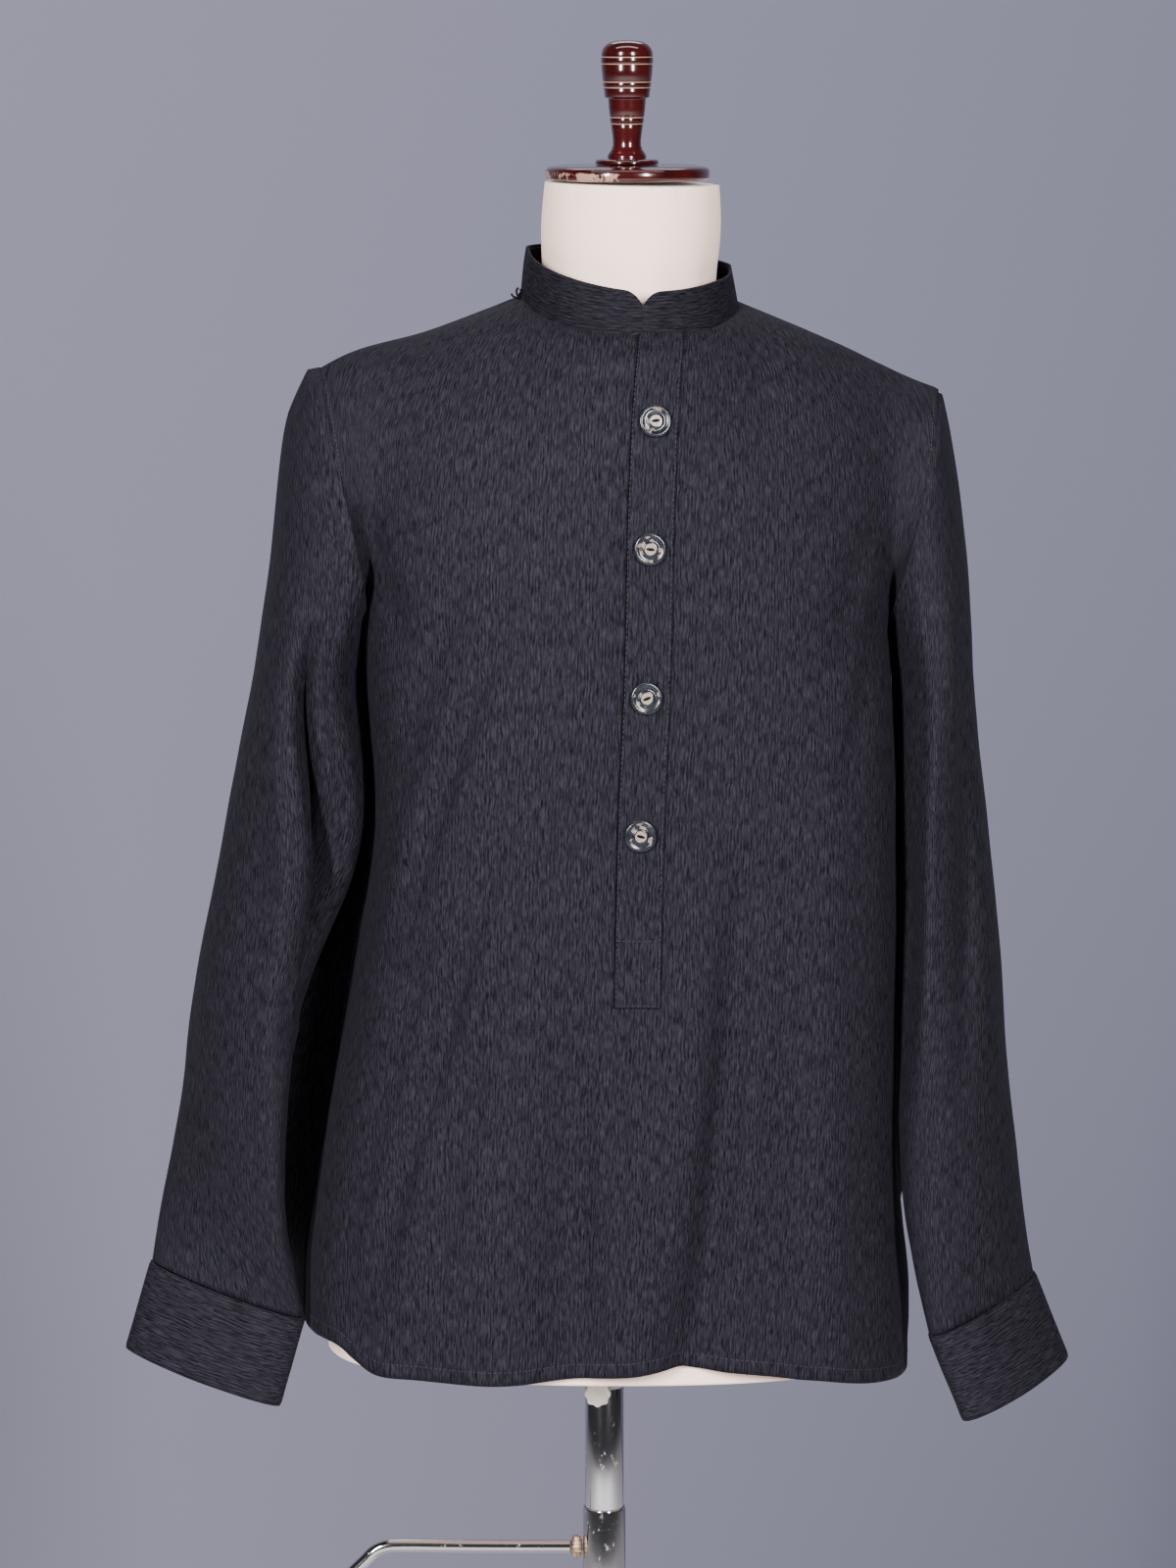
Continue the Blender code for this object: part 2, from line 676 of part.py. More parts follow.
def sleeve_fold_out(folds, z, bearings):
    total = np.zeros_like(bearings)
    for fold in folds:
        t = np.clip((fold.top - z) / (fold.top - fold.low), 0.0, 1.0)
        centre = math.radians(fold.bearing_top + (fold.bearing_low - fold.bearing_top) * t)
        fade = math.sin(math.pi * min(max(t, 0.02), 0.98)) ** 0.5
        gap = (bearings - centre + math.pi) % (2 * math.pi) - math.pi
        total += fold.out * fade * np.exp(-((gap / math.radians(fold.width)) ** 2))
    return total


def folded_ring(name, row, bearings):
    """A sleeve section with its folds pushed in or out from its centre."""
    cut = SLEEVES[name]
    ring = sleeve_ring(row, cut.side, bearings)
    centre = np.array((row.x, row.y, row.z))
    away = ring - centre
    reach = np.linalg.norm(away, axis=1)
    move = sleeve_fold_out(SLEEVE_FOLDS[name], row.z, bearings)
    return ring + away / reach[:, None] * move[:, None]


def sleeve_points(name):
    cut = SLEEVES[name]
    bearings = np.linspace(0.0, 2 * math.pi, RING, endpoint=False)
    loop = armhole_loop(cut.side)
    first = folded_ring(name, cut.rows[0], bearings)
    inner = np.clip(-np.cos(bearings), 0.0, 1.0) ** 0.8
    outer = np.clip(np.cos(bearings), 0.0, 1.0)
    start = SEAM / 150.0
    rows = []
    for s in (start, 0.10, 0.28, 0.50, 0.75, 1.0):
        row = loop + (first - loop) * s
        hump = 4.0 * s * (1.0 - s)
        row[:, 0] += cut.side * cut.bulge * hump * outer
        arch = UNDERARM_ARCH * min(s / 0.10, 1.0) * (1.0 - s)
        row[:, 0] += cut.side * arch * inner
        row[:, 0] += cut.side * ARM_SEAM * (1.0 - s)
        rows.append(row)
    lower = [row.z for row in cut.rows]
    for z in np.linspace(lower[0], lower[-1], 14)[1:]:
        rows.append(folded_ring(name, smooth_between(cut.rows, z), bearings))
    return np.array(rows)


def build_sleeve(name, parts):
    points = sleeve_points(name)
    side = SLEEVES[name].side
    if side > 0:
        points = points[:, ::-1]
    mesh = sheet_mesh(name + " sleeve", points, closed=True)
    wall(place(name + "_sleeve", mesh, "crepe", parts), CLOTH)


def build_cuff(name, parts):
    """A plain closed band under the sleeve's last ring, along the way the forearm points."""
    cut = SLEEVES[name]
    bearings = np.linspace(0.0, 2 * math.pi, RING, endpoint=False)
    last = cut.rows[-1]
    top = sleeve_ring(last._replace(wide=last.wide + 0.6, thin=last.thin + 0.6), cut.side,
                      bearings)
    way = np.array((cut.cuff_out, -3.0, cut.cuff_down))
    way /= np.linalg.norm(way)
    rows = [top + way * (CUFF_SEAM + CUFF_HEIGHT * t) for t in (0.0, 0.5, 1.0)]
    points = np.array(rows)
    if cut.side > 0:
        points = points[:, ::-1]
    wall(place(name + "_cuff", sheet_mesh(name + " cuff", points, closed=True), "crepe", parts),
         DOUBLED)


# ---- collar, placket and buttons -----------------------------------------------------------------
def neck_seam():
    """The neckline from the middle front round the left, the back and the right, to the front."""
    front = neckline(True)
    back = neckline(False)
    half = DENSE // 2
    return np.vstack((front[:half + 1][::-1], back[1:], front[half:-1][::-1]))


def build_collar(parts):
    columns = 30
    seam = neck_seam()
    total = length_along(seam)[-1]
    opening = 1.0
    distances = np.linspace(opening, total - opening, columns + 1)
    distances[1] = COLLAR_END_ROUND * 0.45
    distances[2] = COLLAR_END_ROUND
    distances[-2] = total - COLLAR_END_ROUND * 0.45
    distances[-3] = total - COLLAR_END_ROUND
    foot = at_distances(seam, distances)
    rows = []
    for share in (0.0, 0.35, 0.7, 1.0):
        row = foot.copy()
        for index, distance in enumerate(distances):
            spec = smooth_between(COLLAR_ROWS, 360.0 * distance / total)
            end = min(distance, total - distance)
            curve = max(0.0, 1.0 - end / COLLAR_END_ROUND)
            height = spec.height - COLLAR_END_DROP * (1.0 - math.sqrt(max(0.0, 1.0 - curve**2)))
            inward = np.array((-foot[index, 0], -foot[index, 1], 0.0))
            inward /= np.linalg.norm(inward)
            row[index] += inward * spec.lean * share
            row[index, 2] += COLLAR_GAP + height * share
        rows.append(row)
    points = stand_pose(np.array(rows))
    front_shift = slit_x(1472.0) - stand_pose(np.array(NECK_FRONT))[0]
    ahead = np.clip(-points[..., 1] / 75.0, 0.0, 1.0)
    points[..., 0] += front_shift * ahead**3
    wall(place("band_collar", sheet_mesh("band collar", points), "crepe", parts), DOUBLED)


def surface_normals(points):
    """Outward directions on a grid of surface points."""
    across = np.gradient(points, axis=1)
    up = np.gradient(points, axis=0)
    normal = np.cross(across, up)
    return normal / np.linalg.norm(normal, axis=2, keepdims=True)


def placket_grid(front):
    """The front's own points under the placket, moved out onto its face."""
    strip = front[:, PLACKET_COLUMNS]
    normal = surface_normals(front)[:, PLACKET_COLUMNS]
    heights = strip[:, 0, 2]
    keep = [index for index, z in enumerate(heights) if z > PLACKET_END_Z + 8.0]
    first = keep[0]
    t = (PLACKET_END_Z - heights[first - 1]) / (heights[first] - heights[first - 1])
    end = strip[first - 1] + (strip[first] - strip[first - 1]) * t
    top = strip[-1] + (strip[-2] - strip[-1]) * PLACKET_TOP_DROP
    strip = np.concatenate((end[None], strip[first:-1], top[None]))
    normal = normal[first - 1:]
    return strip + normal * LAY, normal


def build_placket(front, parts):
    points, normal = placket_grid(front)
    mesh = sheet_mesh("placket", points)
    wall(place("placket", mesh, "crepe", parts), PLACKET_THICK, outward=True)
    return points, normal


def build_buttons(points, normal, parts):
    heights = points[:, 0, 2]
    for number, z in enumerate(BUTTON_HEIGHTS, 1):
        seat = np.array([np.interp(z, heights, points[:, 3, axis]) for axis in range(3)])
        face = np.array([np.interp(z, heights, normal[:, 3, axis]) for axis in range(3)])
        edge = np.interp(z, heights, points[:, 0, 0])
        seat[0] = edge + BUTTON_INSET
        lift = PLACKET_THICK + BUTTON_LIFT
        piece = turned("button_%d" % number, BUTTON_PROFILE, "button", parts, steps=24,
                       at=tuple(seat + face * lift))
        piece.rotation_euler = Vector(face).to_track_quat("Z", "Y").to_euler()


# ---- the dress form and its stand ----------------------------------------------------------------
def build_form(parts, cloth):
    """The covered torso: closed rings, drawn in wherever the kurta lies close."""
    around = 40
    bearings = np.linspace(0.0, 2 * math.pi, around, endpoint=False)
    rings = []
    for z in FORM_HEIGHTS:
        row = smooth_between(FORM_ROWS, z)
        power = 2.0 / row.corner
        across = np.cos(bearings)
        deep = np.sin(bearings)
        x = row.left * np.sign(across) * np.abs(across) ** power
        depth = np.where(deep > 0.0, row.back, row.front)
        y = depth * np.sign(deep) * np.abs(deep) ** power
        ring = stand_pose(np.stack([x, y, np.full(around, float(z))], axis=1))
        axis = stand_pose(np.array((0.0, 0.0, float(z))))
        for index, point in enumerate(ring):
            way = Vector(point - axis)
            reach = way.length
            way.normalize()
            while crowds(Vector(axis) + way * reach, cloth):
                reach -= 0.5
            ring[index] = axis + np.array(way) * reach
        rings.append(ring)
    mesh = sheet_mesh("dress form", np.array(rings), closed=True, filled=True)
    return place("dress_form", mesh, "jersey", parts)


def crowds(point, cloth):
    """Whether a place lies outside a piece's outer side or too near it."""
    for tree, room in cloth:
        near, normal, _, distance = tree.find_nearest(point * MM)
        outside = (point * MM - near).dot(normal) > 0.0
        if distance < room * MM or (outside and distance < NEAR * MM):
            return True
    return False


def outer_faces(parts):
    """Each piece that lies round the form, with the room that its wall and its ease need."""
    trees = []
    for name, room in (("front_panel", CLOTH + FORM_EASE), ("back_panel", CLOTH + FORM_EASE),
                       ("back_yoke", CLOTH + FORM_EASE), ("band_collar", DOUBLED + FORM_EASE)):
        mesh = parts.objects[name].data
        corners = [vertex.co.copy() for vertex in mesh.vertices]
        faces = [tuple(face.vertices) for face in mesh.polygons]
        trees.append((BVHTree.FromPolygons(corners, faces), room))
    return trees


def build_stand(parts):
    cap_top = NECK_CAP_Z + CAP_PROFILE[-1].height
    turned("neck_cap", CAP_PROFILE, "lacquer", parts, steps=36, at=(NECK_CAP_X, 0.0, NECK_CAP_Z))
    turned("finial", FINIAL_PROFILE, "lacquer", parts, at=(FINIAL_X, 0.0, cap_top + FIT))
    turned("pole_socket", (TurnRow(0, SOCKET_RADIUS - 0.4), TurnRow(1.0, SOCKET_RADIUS),
                           TurnRow(22.0, SOCKET_RADIUS)),
           "grey plastic", parts, at=(0.0, 0.0, SOCKET_FOOT_Z))
    build_knob(parts)
    foot = TUBE_JOINT_Z - TUBE_SLIDE
    turned("upper_tube", (TurnRow(0, TUBE_RADIUS), TurnRow(POLE_TOP_Z - foot, TUBE_RADIUS)),
           "chrome", parts, at=(0.0, 0.0, foot))
    build_lower_tube(parts)
    build_bead(parts)
    route = [(-23.2, 0, ROD_Z), (-80, 0, ROD_Z), (-138, 0, ROD_Z + 0.5), (-146, 0, ROD_Z - 0.5),
             (-152, 0, ROD_Z - 3.5), (-157, 0, ROD_Z - 8.0), (-180, 0, ROD_Z - 34)]
    bar("trouser_bar", route, ROD_RADIUS, "chrome", parts)
    turned("base_plate", (TurnRow(0, BASE_RADIUS - 1.5), TurnRow(1.5, BASE_RADIUS),
                          TurnRow(BASE_THICK - 2, BASE_RADIUS),
                          TurnRow(BASE_THICK, BASE_RADIUS - 3)),
           "painted steel", parts, steps=48)


def build_knob(parts):
    """The scalloped clamp knob in front of the pole's top."""
    knob = bmesh.new()
    bmesh.ops.create_circle(knob, cap_ends=True, segments=40, radius=KNOB_RADIUS * MM)
    for vertex in knob.verts:
        bearing = math.atan2(vertex.co.y, vertex.co.x)
        vertex.co *= 1.0 + KNOB_SCALLOP_DEPTH * math.cos(KNOB_SCALLOPS * bearing)
    pushed = bmesh.ops.extrude_face_region(knob, geom=list(knob.faces))
    tops = [item for item in pushed["geom"] if isinstance(item, bmesh.types.BMVert)]
    bmesh.ops.translate(knob, verts=tops, vec=(0.0, 0.0, KNOB_THICK * MM))
    bmesh.ops.recalc_face_normals(knob, faces=knob.faces)
    mesh = bpy.data.meshes.new("clamp knob")
    knob.to_mesh(mesh)
    knob.free()
    piece = place("clamp_knob", mesh, "ivory plastic", parts)
    piece.location = Vector((KNOB_SPOT[0], -(SOCKET_RADIUS + FIT), KNOB_SPOT[1])) * MM
    piece.rotation_euler = (math.radians(90.0), 0.0, 0.0)


def build_bead(parts):
    """The weld that holds the trouser bar to the lower tube."""
    bead = bmesh.new()
    bmesh.ops.create_uvsphere(bead, u_segments=14, v_segments=8, radius=BEAD_RADIUS * MM)
    mesh = bpy.data.meshes.new("weld bead")
    bead.to_mesh(mesh)
    bead.free()
    piece = place("weld_bead", mesh, "weld", parts)
    reach = LOWER_TUBE_RADIUS + FIT + BEAD_RADIUS * BEAD_STRETCH[0]
    piece.location = Vector((-reach, 0.0, ROD_Z)) * MM
    piece.scale = BEAD_STRETCH


def build_lower_tube(parts):
    """The pole's lower tube: an open-topped pipe that the upper tube slides in."""
    top = TUBE_JOINT_Z
    foot = BASE_THICK + FIT
    bore = TUBE_RADIUS + FIT
    bottom = TUBE_JOINT_Z - BORE_DEPTH
    line = bpy.data.meshes.new("lower tube")
    outline = [(0.0, bottom), (bore, bottom), (bore, top), (LOWER_TUBE_RADIUS, top),
               (LOWER_TUBE_RADIUS, foot), (0.0, foot)]
    shape = bmesh.new()
    verts = [shape.verts.new((radius * MM, 0.0, height * MM)) for radius, height in outline]
    for first, second in zip(verts, verts[1:]):
        shape.edges.new((first, second))
    shape.to_mesh(line)
    shape.free()
    piece = place("lower_tube", line, "chrome", parts)
    sweep = piece.modifiers.new("turn", "SCREW")
    sweep.steps = 28
    sweep.render_steps = 28
    sweep.use_merge_vertices = True
    sweep.merge_threshold = 0.00001


def main():
    clear_scene()
    parts = bpy.data.collections.new(PARTS)
    bpy.context.scene.collection.children.link(parts)
    front = build_front(parts)
    build_back(parts)
    for name in SLEEVES:
        build_sleeve(name, parts)
        build_cuff(name, parts)
    build_collar(parts)
    points, normal = build_placket(front, parts)
    build_buttons(points, normal, parts)
    build_form(parts, outer_faces(parts))
    build_stand(parts)


main()
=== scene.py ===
# %% [markdown]
# # A band-collar kurta on a dress form
# The kurta is cut from a dark crepe with a small woven figure. It hangs on a covered form that
# stands on a pole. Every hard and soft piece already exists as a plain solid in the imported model,
# so this lesson gives each of them its fine shape and its finish, in the same places.

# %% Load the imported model
import math
from collections import namedtuple

import bmesh
import bpy
import numpy as np
from mathutils import Matrix, Vector, noise


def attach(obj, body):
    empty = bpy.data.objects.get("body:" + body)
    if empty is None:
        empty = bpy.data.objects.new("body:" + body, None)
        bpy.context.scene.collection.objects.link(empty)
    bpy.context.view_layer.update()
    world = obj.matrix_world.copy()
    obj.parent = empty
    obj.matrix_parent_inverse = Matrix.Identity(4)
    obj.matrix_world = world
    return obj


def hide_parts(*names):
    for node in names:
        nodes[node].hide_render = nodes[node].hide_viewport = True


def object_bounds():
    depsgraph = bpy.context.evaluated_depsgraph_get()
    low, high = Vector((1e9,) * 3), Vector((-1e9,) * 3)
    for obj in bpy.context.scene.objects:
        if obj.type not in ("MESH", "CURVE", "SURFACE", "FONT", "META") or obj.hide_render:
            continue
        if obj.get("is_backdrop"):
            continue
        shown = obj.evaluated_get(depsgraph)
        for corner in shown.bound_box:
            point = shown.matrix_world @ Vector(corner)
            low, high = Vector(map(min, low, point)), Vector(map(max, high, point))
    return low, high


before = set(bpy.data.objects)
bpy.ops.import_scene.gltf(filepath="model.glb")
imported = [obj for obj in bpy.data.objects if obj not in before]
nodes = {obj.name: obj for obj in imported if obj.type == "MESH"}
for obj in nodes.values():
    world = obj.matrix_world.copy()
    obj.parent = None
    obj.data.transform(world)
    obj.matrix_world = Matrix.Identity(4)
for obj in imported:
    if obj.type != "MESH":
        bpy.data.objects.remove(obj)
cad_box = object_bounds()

MM = 0.001
print("nodes", len(nodes), "box", [tuple(round(v, 3) for v in corner) for corner in cad_box])

# %% [markdown]
# ## Camera, backdrop and lights
# The photograph looks a little down from chest height with a long lens. Two tall soft boxes stand
# at the front left and the front right, the left one stronger, and a grey-lilac wall closes the
# back. The wall is clear from behind, so that the piece can be looked at from every side.

# %% Camera
PICTURE_HIGH_PX = 1600
FOCAL_PX = 5650         # the lens's focal length, measured in the picture's own pixels
HORIZON_PX = 830        # the horizon lies this far above the picture's middle
EYE = (-0.0108, -3.55, 1.694)
lens = bpy.data.cameras.new("view")
lens.sensor_fit = "VERTICAL"
lens.sensor_height = 36.0
lens.lens = lens.sensor_height * FOCAL_PX / PICTURE_HIGH_PX
camera = bpy.data.objects.new("view", lens)
camera.location = EYE
camera.rotation_euler = (math.pi / 2 - math.atan(HORIZON_PX / FOCAL_PX), 0.0, 0.0)
bpy.context.scene.collection.objects.link(camera)
bpy.context.scene.camera = camera
print("lens", round(lens.lens, 1), "mm, looks down", round(90 - math.degrees(camera.rotation_euler.x), 1))

# %% [markdown]
# ## Small tools for materials
# Every finish here is a Principled shader fed by a few procedural patterns. The helpers below add
# one node each and hand back its output, so a material later reads like a short sum. Typing each
# node's sockets in full would work too, but would hide what the pattern does.


# %% A material with its shader at hand
def put(socket, value):
    """Link another node's output to a socket, or set the socket to a plain value."""
    if isinstance(value, bpy.types.NodeSocket):
        socket.id_data.links.new(value, socket)
    elif socket.type == "RGBA":
        socket.default_value = (*value[:3], 1.0)
    else:
        socket.default_value = value


def new_material(name, roughness=0.5, metallic=0.0):
    made = bpy.data.materials.new(name)
    made.use_nodes = True
    shader = made.node_tree.nodes["Principled BSDF"]
    shader.inputs["Roughness"].default_value = roughness
    shader.inputs["Metallic"].default_value = metallic
    return made, made.node_tree, shader


def add(tree, kind, **settings):
    """A new node. i0, i1 and so on fill its inputs by number; other settings are its own."""
    node = tree.nodes.new(kind)
    for key, value in settings.items():
        if key[0] == "i" and key[1:].isdigit():
            put(node.inputs[int(key[1:])], value)
        else:
            setattr(node, key, value)
    return node


def object_place(tree):
    """Places on the piece in metres, as the piece's own object has them."""
    return add(tree, "ShaderNodeTexCoord").outputs["Object"]


# %% Sums and masks
def calc(tree, operation, first, second=0.0, third=0.0, clamp=False):
    node = add(tree, "ShaderNodeMath", operation=operation, use_clamp=clamp, i0=first, i1=second, i2=third)
    return node.outputs[0]


def times(tree, first, second, clamp=False):
    return calc(tree, "MULTIPLY", first, second, clamp=clamp)


def plus(tree, first, second, clamp=False):
    return calc(tree, "ADD", first, second, clamp=clamp)


def away_from(tree, value, centre):
    """How far a value lies from the centre, either way."""
    return calc(tree, "ABSOLUTE", calc(tree, "SUBTRACT", value, centre))


def hypotenuse(tree, x, y):
    return calc(tree, "SQRT", plus(tree, times(tree, x, x), times(tree, y, y)))


def between(tree, low, high, value, clamp=True):
    """0 below low, 1 above high, and even in between."""
    node = add(tree, "ShaderNodeMapRange", clamp=clamp, i0=value, i1=low, i2=high)
    return node.outputs[0]


def blend(tree, share, first, second):
    """Mix two colours: the sockets of a Mix node's colours are its inputs 6 and 7."""
    node = add(tree, "ShaderNodeMix", data_type="RGBA", clamp_factor=True, i0=share, i6=first, i7=second)
    return node.outputs[2]


def noise_at(tree, where, scale, detail=3.0, roughness=0.5, stretch=(1.0, 1.0, 1.0), distort=0.0):
    spread_out = add(tree, "ShaderNodeMapping", i0=where, i3=stretch)
    node = add(tree, "ShaderNodeTexNoise", i0=spread_out.outputs[0])
    node.inputs["Scale"].default_value = scale
    node.inputs["Detail"].default_value = detail
    node.inputs["Roughness"].default_value = roughness
    node.inputs["Distortion"].default_value = distort
    return node.outputs[0]


def bump(tree, shader, height, distance, strength=1.0):
    node = add(tree, "ShaderNodeBump")
    node.inputs["Distance"].default_value = distance
    node.inputs["Strength"].default_value = strength
    tree.links.new(height, node.inputs["Height"])
    tree.links.new(node.outputs[0], shader.inputs["Normal"])


def mottled(name, low, high, scale, detail=2.0, roughness=0.6, relief=(0.0001, 0.5)):
    """A plain finish whose colour wanders between two tones, with a little relief to match."""
    made, tree, shader = new_material(name, roughness)
    tone = noise_at(tree, object_place(tree), scale, detail)
    put(shader.inputs["Base Color"], blend(tree, tone, low, high))
    bump(tree, shader, tone, *relief)
    return made


# %% From a bmesh to an object in the scene
def piece_from(shape, name, smooth=True):
    """Turn a finished bmesh into a linked object, and free it."""
    mesh = bpy.data.meshes.new(name)
    shape.to_mesh(mesh)
    shape.free()
    if smooth:
        mesh.shade_smooth()
    piece = bpy.data.objects.new(name, mesh)
    bpy.context.scene.collection.objects.link(piece)
    return piece


def ready(piece, material, replaced):
    """Give a piece its material, its body and the solids that it stands for."""
    piece.data.materials.append(material)
    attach(piece, "root")
    if replaced:
        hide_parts(*replaced)
    return piece


# %% Floor and wall
def stage_sheet(name, corners):
    shape = bmesh.new()
    shape.faces.new([shape.verts.new(corner) for corner in corners])
    piece = piece_from(shape, name, smooth=False)
    piece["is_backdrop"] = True
    return piece


floor = stage_sheet("floor", [(-9, -9, 0), (9, -9, 0), (9, 9, 0), (-9, 9, 0)])
wall = stage_sheet("wall", [(-7, 2.1, 0), (7, 2.1, 0), (7, 2.1, 5), (-7, 2.1, 5)])
pale, tree, shader = new_material("pale floor", 0.85)
shader.inputs["Base Color"].default_value = (0.56, 0.55, 0.57, 1.0)
floor.data.materials.append(pale)

# %% The wall's colour
# Painted light: it is paler at the left, and again towards the floor, as the light on a real paper sweep is.
lilac, tree, shader = new_material("lilac wall", 0.95)
shader.inputs["Specular IOR Level"].default_value = 0.0
split = add(tree, "ShaderNodeSeparateXYZ", i0=object_place(tree))
across = between(tree, -0.62, 0.66, split.outputs[0])
down = calc(tree, "POWER", between(tree, 1.66, 0.0, split.outputs[2]), 2.5)
top_row = blend(tree, across, (0.192, 0.191, 0.255), (0.146, 0.150, 0.206))
low_row = blend(tree, across, (0.232, 0.228, 0.302), (0.141, 0.143, 0.196))
tree.links.new(blend(tree, down, top_row, low_row), shader.inputs["Base Color"])
clear = add(tree, "ShaderNodeBsdfTransparent")
facing = add(tree, "ShaderNodeNewGeometry").outputs["Backfacing"]
either = add(tree, "ShaderNodeMixShader", i0=facing, i1=shader.outputs[0], i2=clear.outputs[0])
tree.links.new(either.outputs[0], tree.nodes["Material Output"].inputs["Surface"])
wall.data.materials.append(lilac)
print("stage", floor.name, wall.name)


# %% Lights
def soft_box(name, place, aim, width, height, watts, colour=(1.0, 0.985, 0.96)):
    lamp = bpy.data.lights.new(name, "AREA")
    lamp.shape = "RECTANGLE"
    lamp.size = width
    lamp.size_y = height
    lamp.energy = watts
    lamp.color = colour
    holder = bpy.data.objects.new(name, lamp)
    holder.location = place
    holder.rotation_euler = (Vector(aim) - Vector(place)).to_track_quat("-Z", "Y").to_euler()
    bpy.context.scene.collection.objects.link(holder)


soft_box("left soft box", (-1.60, -2.95, 2.35), (0.0, 0.0, 1.15), 0.35, 1.5, 240.0)
soft_box("right soft box", (1.50, -3.0, 2.30), (0.05, 0.0, 1.1), 0.35, 1.5, 196.0)
soft_box("wall light", (0.0, -0.4, 3.6), (0.0, 2.3, 0.9), 2.8, 0.5, 30.0)
soft_box("back light", (0.0, 1.9, 3.3), (0.0, 0.0, 1.15), 1.6, 0.5, 10.0)
world = bpy.data.worlds.new("room")
world.use_nodes = True
world.node_tree.nodes["Background"].inputs[0].default_value = (0.80, 0.81, 0.88, 1.0)
world.node_tree.nodes["Background"].inputs[1].default_value = 0.05
bpy.context.scene.world = world

# %% [markdown]
# ## The kurta's sections
# A pattern cutter knows a garment by its sections: how wide and how deep it hangs at each height.
# The body is lofted through such rows in the same way as its solids, only far more finely, so the
# folds can be soft. Rows are written upright in millimetres. The dressed form leans and turns a
# little on its pole, so posed() puts the rows in place.

# %% Sizes and tables
CLOTH = 1.2             # one layer of the crepe
DOUBLED = 2.0           # collar and cuffs: two layers and what stiffens them
PLACKET_THICK = 1.6
LEAN = math.radians(1.25)
TURN = math.radians(5.0)
PIVOT_Z = 770.0         # the lean starts at the top of the pole
HEM_Z = 812.0
HEM_TILT = 0.036        # the hem rises to the left by this much for each mm across
TILT_TOP_Z = 1000.0
UNDERARM_Z = 1279.0
VENT_TOP_Z = 874.0
VENT_OPEN = 5.0
NECK_SIDE = np.array((67.0, 2.0, 1487.0))
SHOULDER_TIP = np.array((199.0, -18.0, 1436.0))
NECK_FRONT = np.array((0.0, -79.0, 1469.5))
NECK_BACK = np.array((0.0, 74.0, 1490.0))
NECK_SHARE = 0.34       # part of the top edge, from the middle out, that is neckline
SHOULDER_CROWN = {-1: 8.0, 1: -3.0}  # how far the left and the right shoulder swell or sink
CROWN_X = 180.0
CROWN_WIDE = 38.0
PLACKET_WIDTH = 29.5
PLACKET_LAP = 2.0       # the placket's free edge covers the slit by this much
PLACKET_END_Z = 1049.0
SLIT_END_Z = 1073.0     # under this the front is closed behind the placket
COLLAR_GAP = 1.8
CUFF_HEIGHT = 59.0

BodyRow = namedtuple("BodyRow", "z left right front back corner")
KURTA_ROWS = (
    BodyRow(812, 198, 198, 127, 124, 2.6),
    BodyRow(860, 197, 197, 127, 124, 2.6),
    BodyRow(900, 192, 191, 127, 123, 2.7),
    BodyRow(960, 184, 185, 127, 121, 2.9),
    BodyRow(1050, 170, 181, 127, 119, 3.2),
    BodyRow(1140, 159, 178, 128, 118, 3.4),
    BodyRow(1215, 163, 175, 130, 117, 3.1),
    BodyRow(1279, 170, 170, 129, 116, 2.7),
)
Point = namedtuple("Point", "x y z")
ARMHOLE_FRONT = (
    Point(199, -18, 1436), Point(195, -42, 1417), Point(190, -60, 1393), Point(184, -72, 1362),
    Point(177, -75, 1331), Point(171, -64, 1302), Point(169, -36, 1285), Point(170, 0, 1279),
)
ARMHOLE_BACK = (
    Point(170, 0, 1279), Point(170, 38, 1286), Point(173, 66, 1306), Point(179, 77, 1337),
    Point(187, 72, 1374), Point(194, 52, 1410), Point(198, 20, 1432), Point(199, -18, 1436),
)
SlitRow = namedtuple("SlitRow", "z x")
SLIT_ROWS = (
    SlitRow(812, -0.7), SlitRow(1049, 7.1), SlitRow(1160, 9.4), SlitRow(1259, 13.4),
    SlitRow(1375, 16.2), SlitRow(1436, 19.4), SlitRow(1472, 23.0),
)
print("rows", len(KURTA_ROWS), "armhole points", len(ARMHOLE_FRONT) + len(ARMHOLE_BACK))


# %% Curves through a table
def smooth_between(rows, key):
    """One row at a height between the table's rows, on a smooth curve through them."""
    heights = np.array([row[0] for row in rows], float)
    values = np.array([row[1:] for row in rows], float)
    order = np.argsort(heights)
    heights = heights[order]
    values = values[order]
    key = min(max(key, heights[0]), heights[-1])
    low = int(min(np.searchsorted(heights, key, "right") - 1, len(heights) - 2))
    slopes = np.gradient(values, heights, axis=0)
    span = heights[low + 1] - heights[low]
    t = (key - heights[low]) / span
    start = (2 * t**3 - 3 * t**2 + 1) * values[low] + (t**3 - 2 * t**2 + t) * span * slopes[low]
    end = (3 * t**2 - 2 * t**3) * values[low + 1] + (t**3 - t**2) * span * slopes[low + 1]
    return type(rows[0])(key, *(start + end))


def length_along(points):
    return np.concatenate(([0.0], np.cumsum(np.linalg.norm(np.diff(points, axis=0), axis=1))))


def at_distances(points, distances):
    along = length_along(points)
    return np.stack([np.interp(distances, along, points[:, axis]) for axis in range(3)], axis=1)


def spread(points, count):
    return at_distances(points, np.linspace(0.0, length_along(points)[-1], count))


def rounded_line(knots, per_span=12):
    """A smooth line through a short list of points."""
    knots = np.asarray(knots, float)
    ends = np.vstack((2 * knots[0] - knots[1], knots, 2 * knots[-1] - knots[-2]))
    line = []
    for before, start, end, after in zip(ends, ends[1:], ends[2:], ends[3:]):
        for t in np.linspace(0.0, 1.0, per_span, endpoint=False):
            line.append(0.5 * (2 * start + (end - before) * t
                               + (2 * before - 5 * start + 4 * end - after) * t**2
                               + (3 * start - before - 3 * end + after) * t**3))
    line.append(knots[-1])
    return np.array(line)


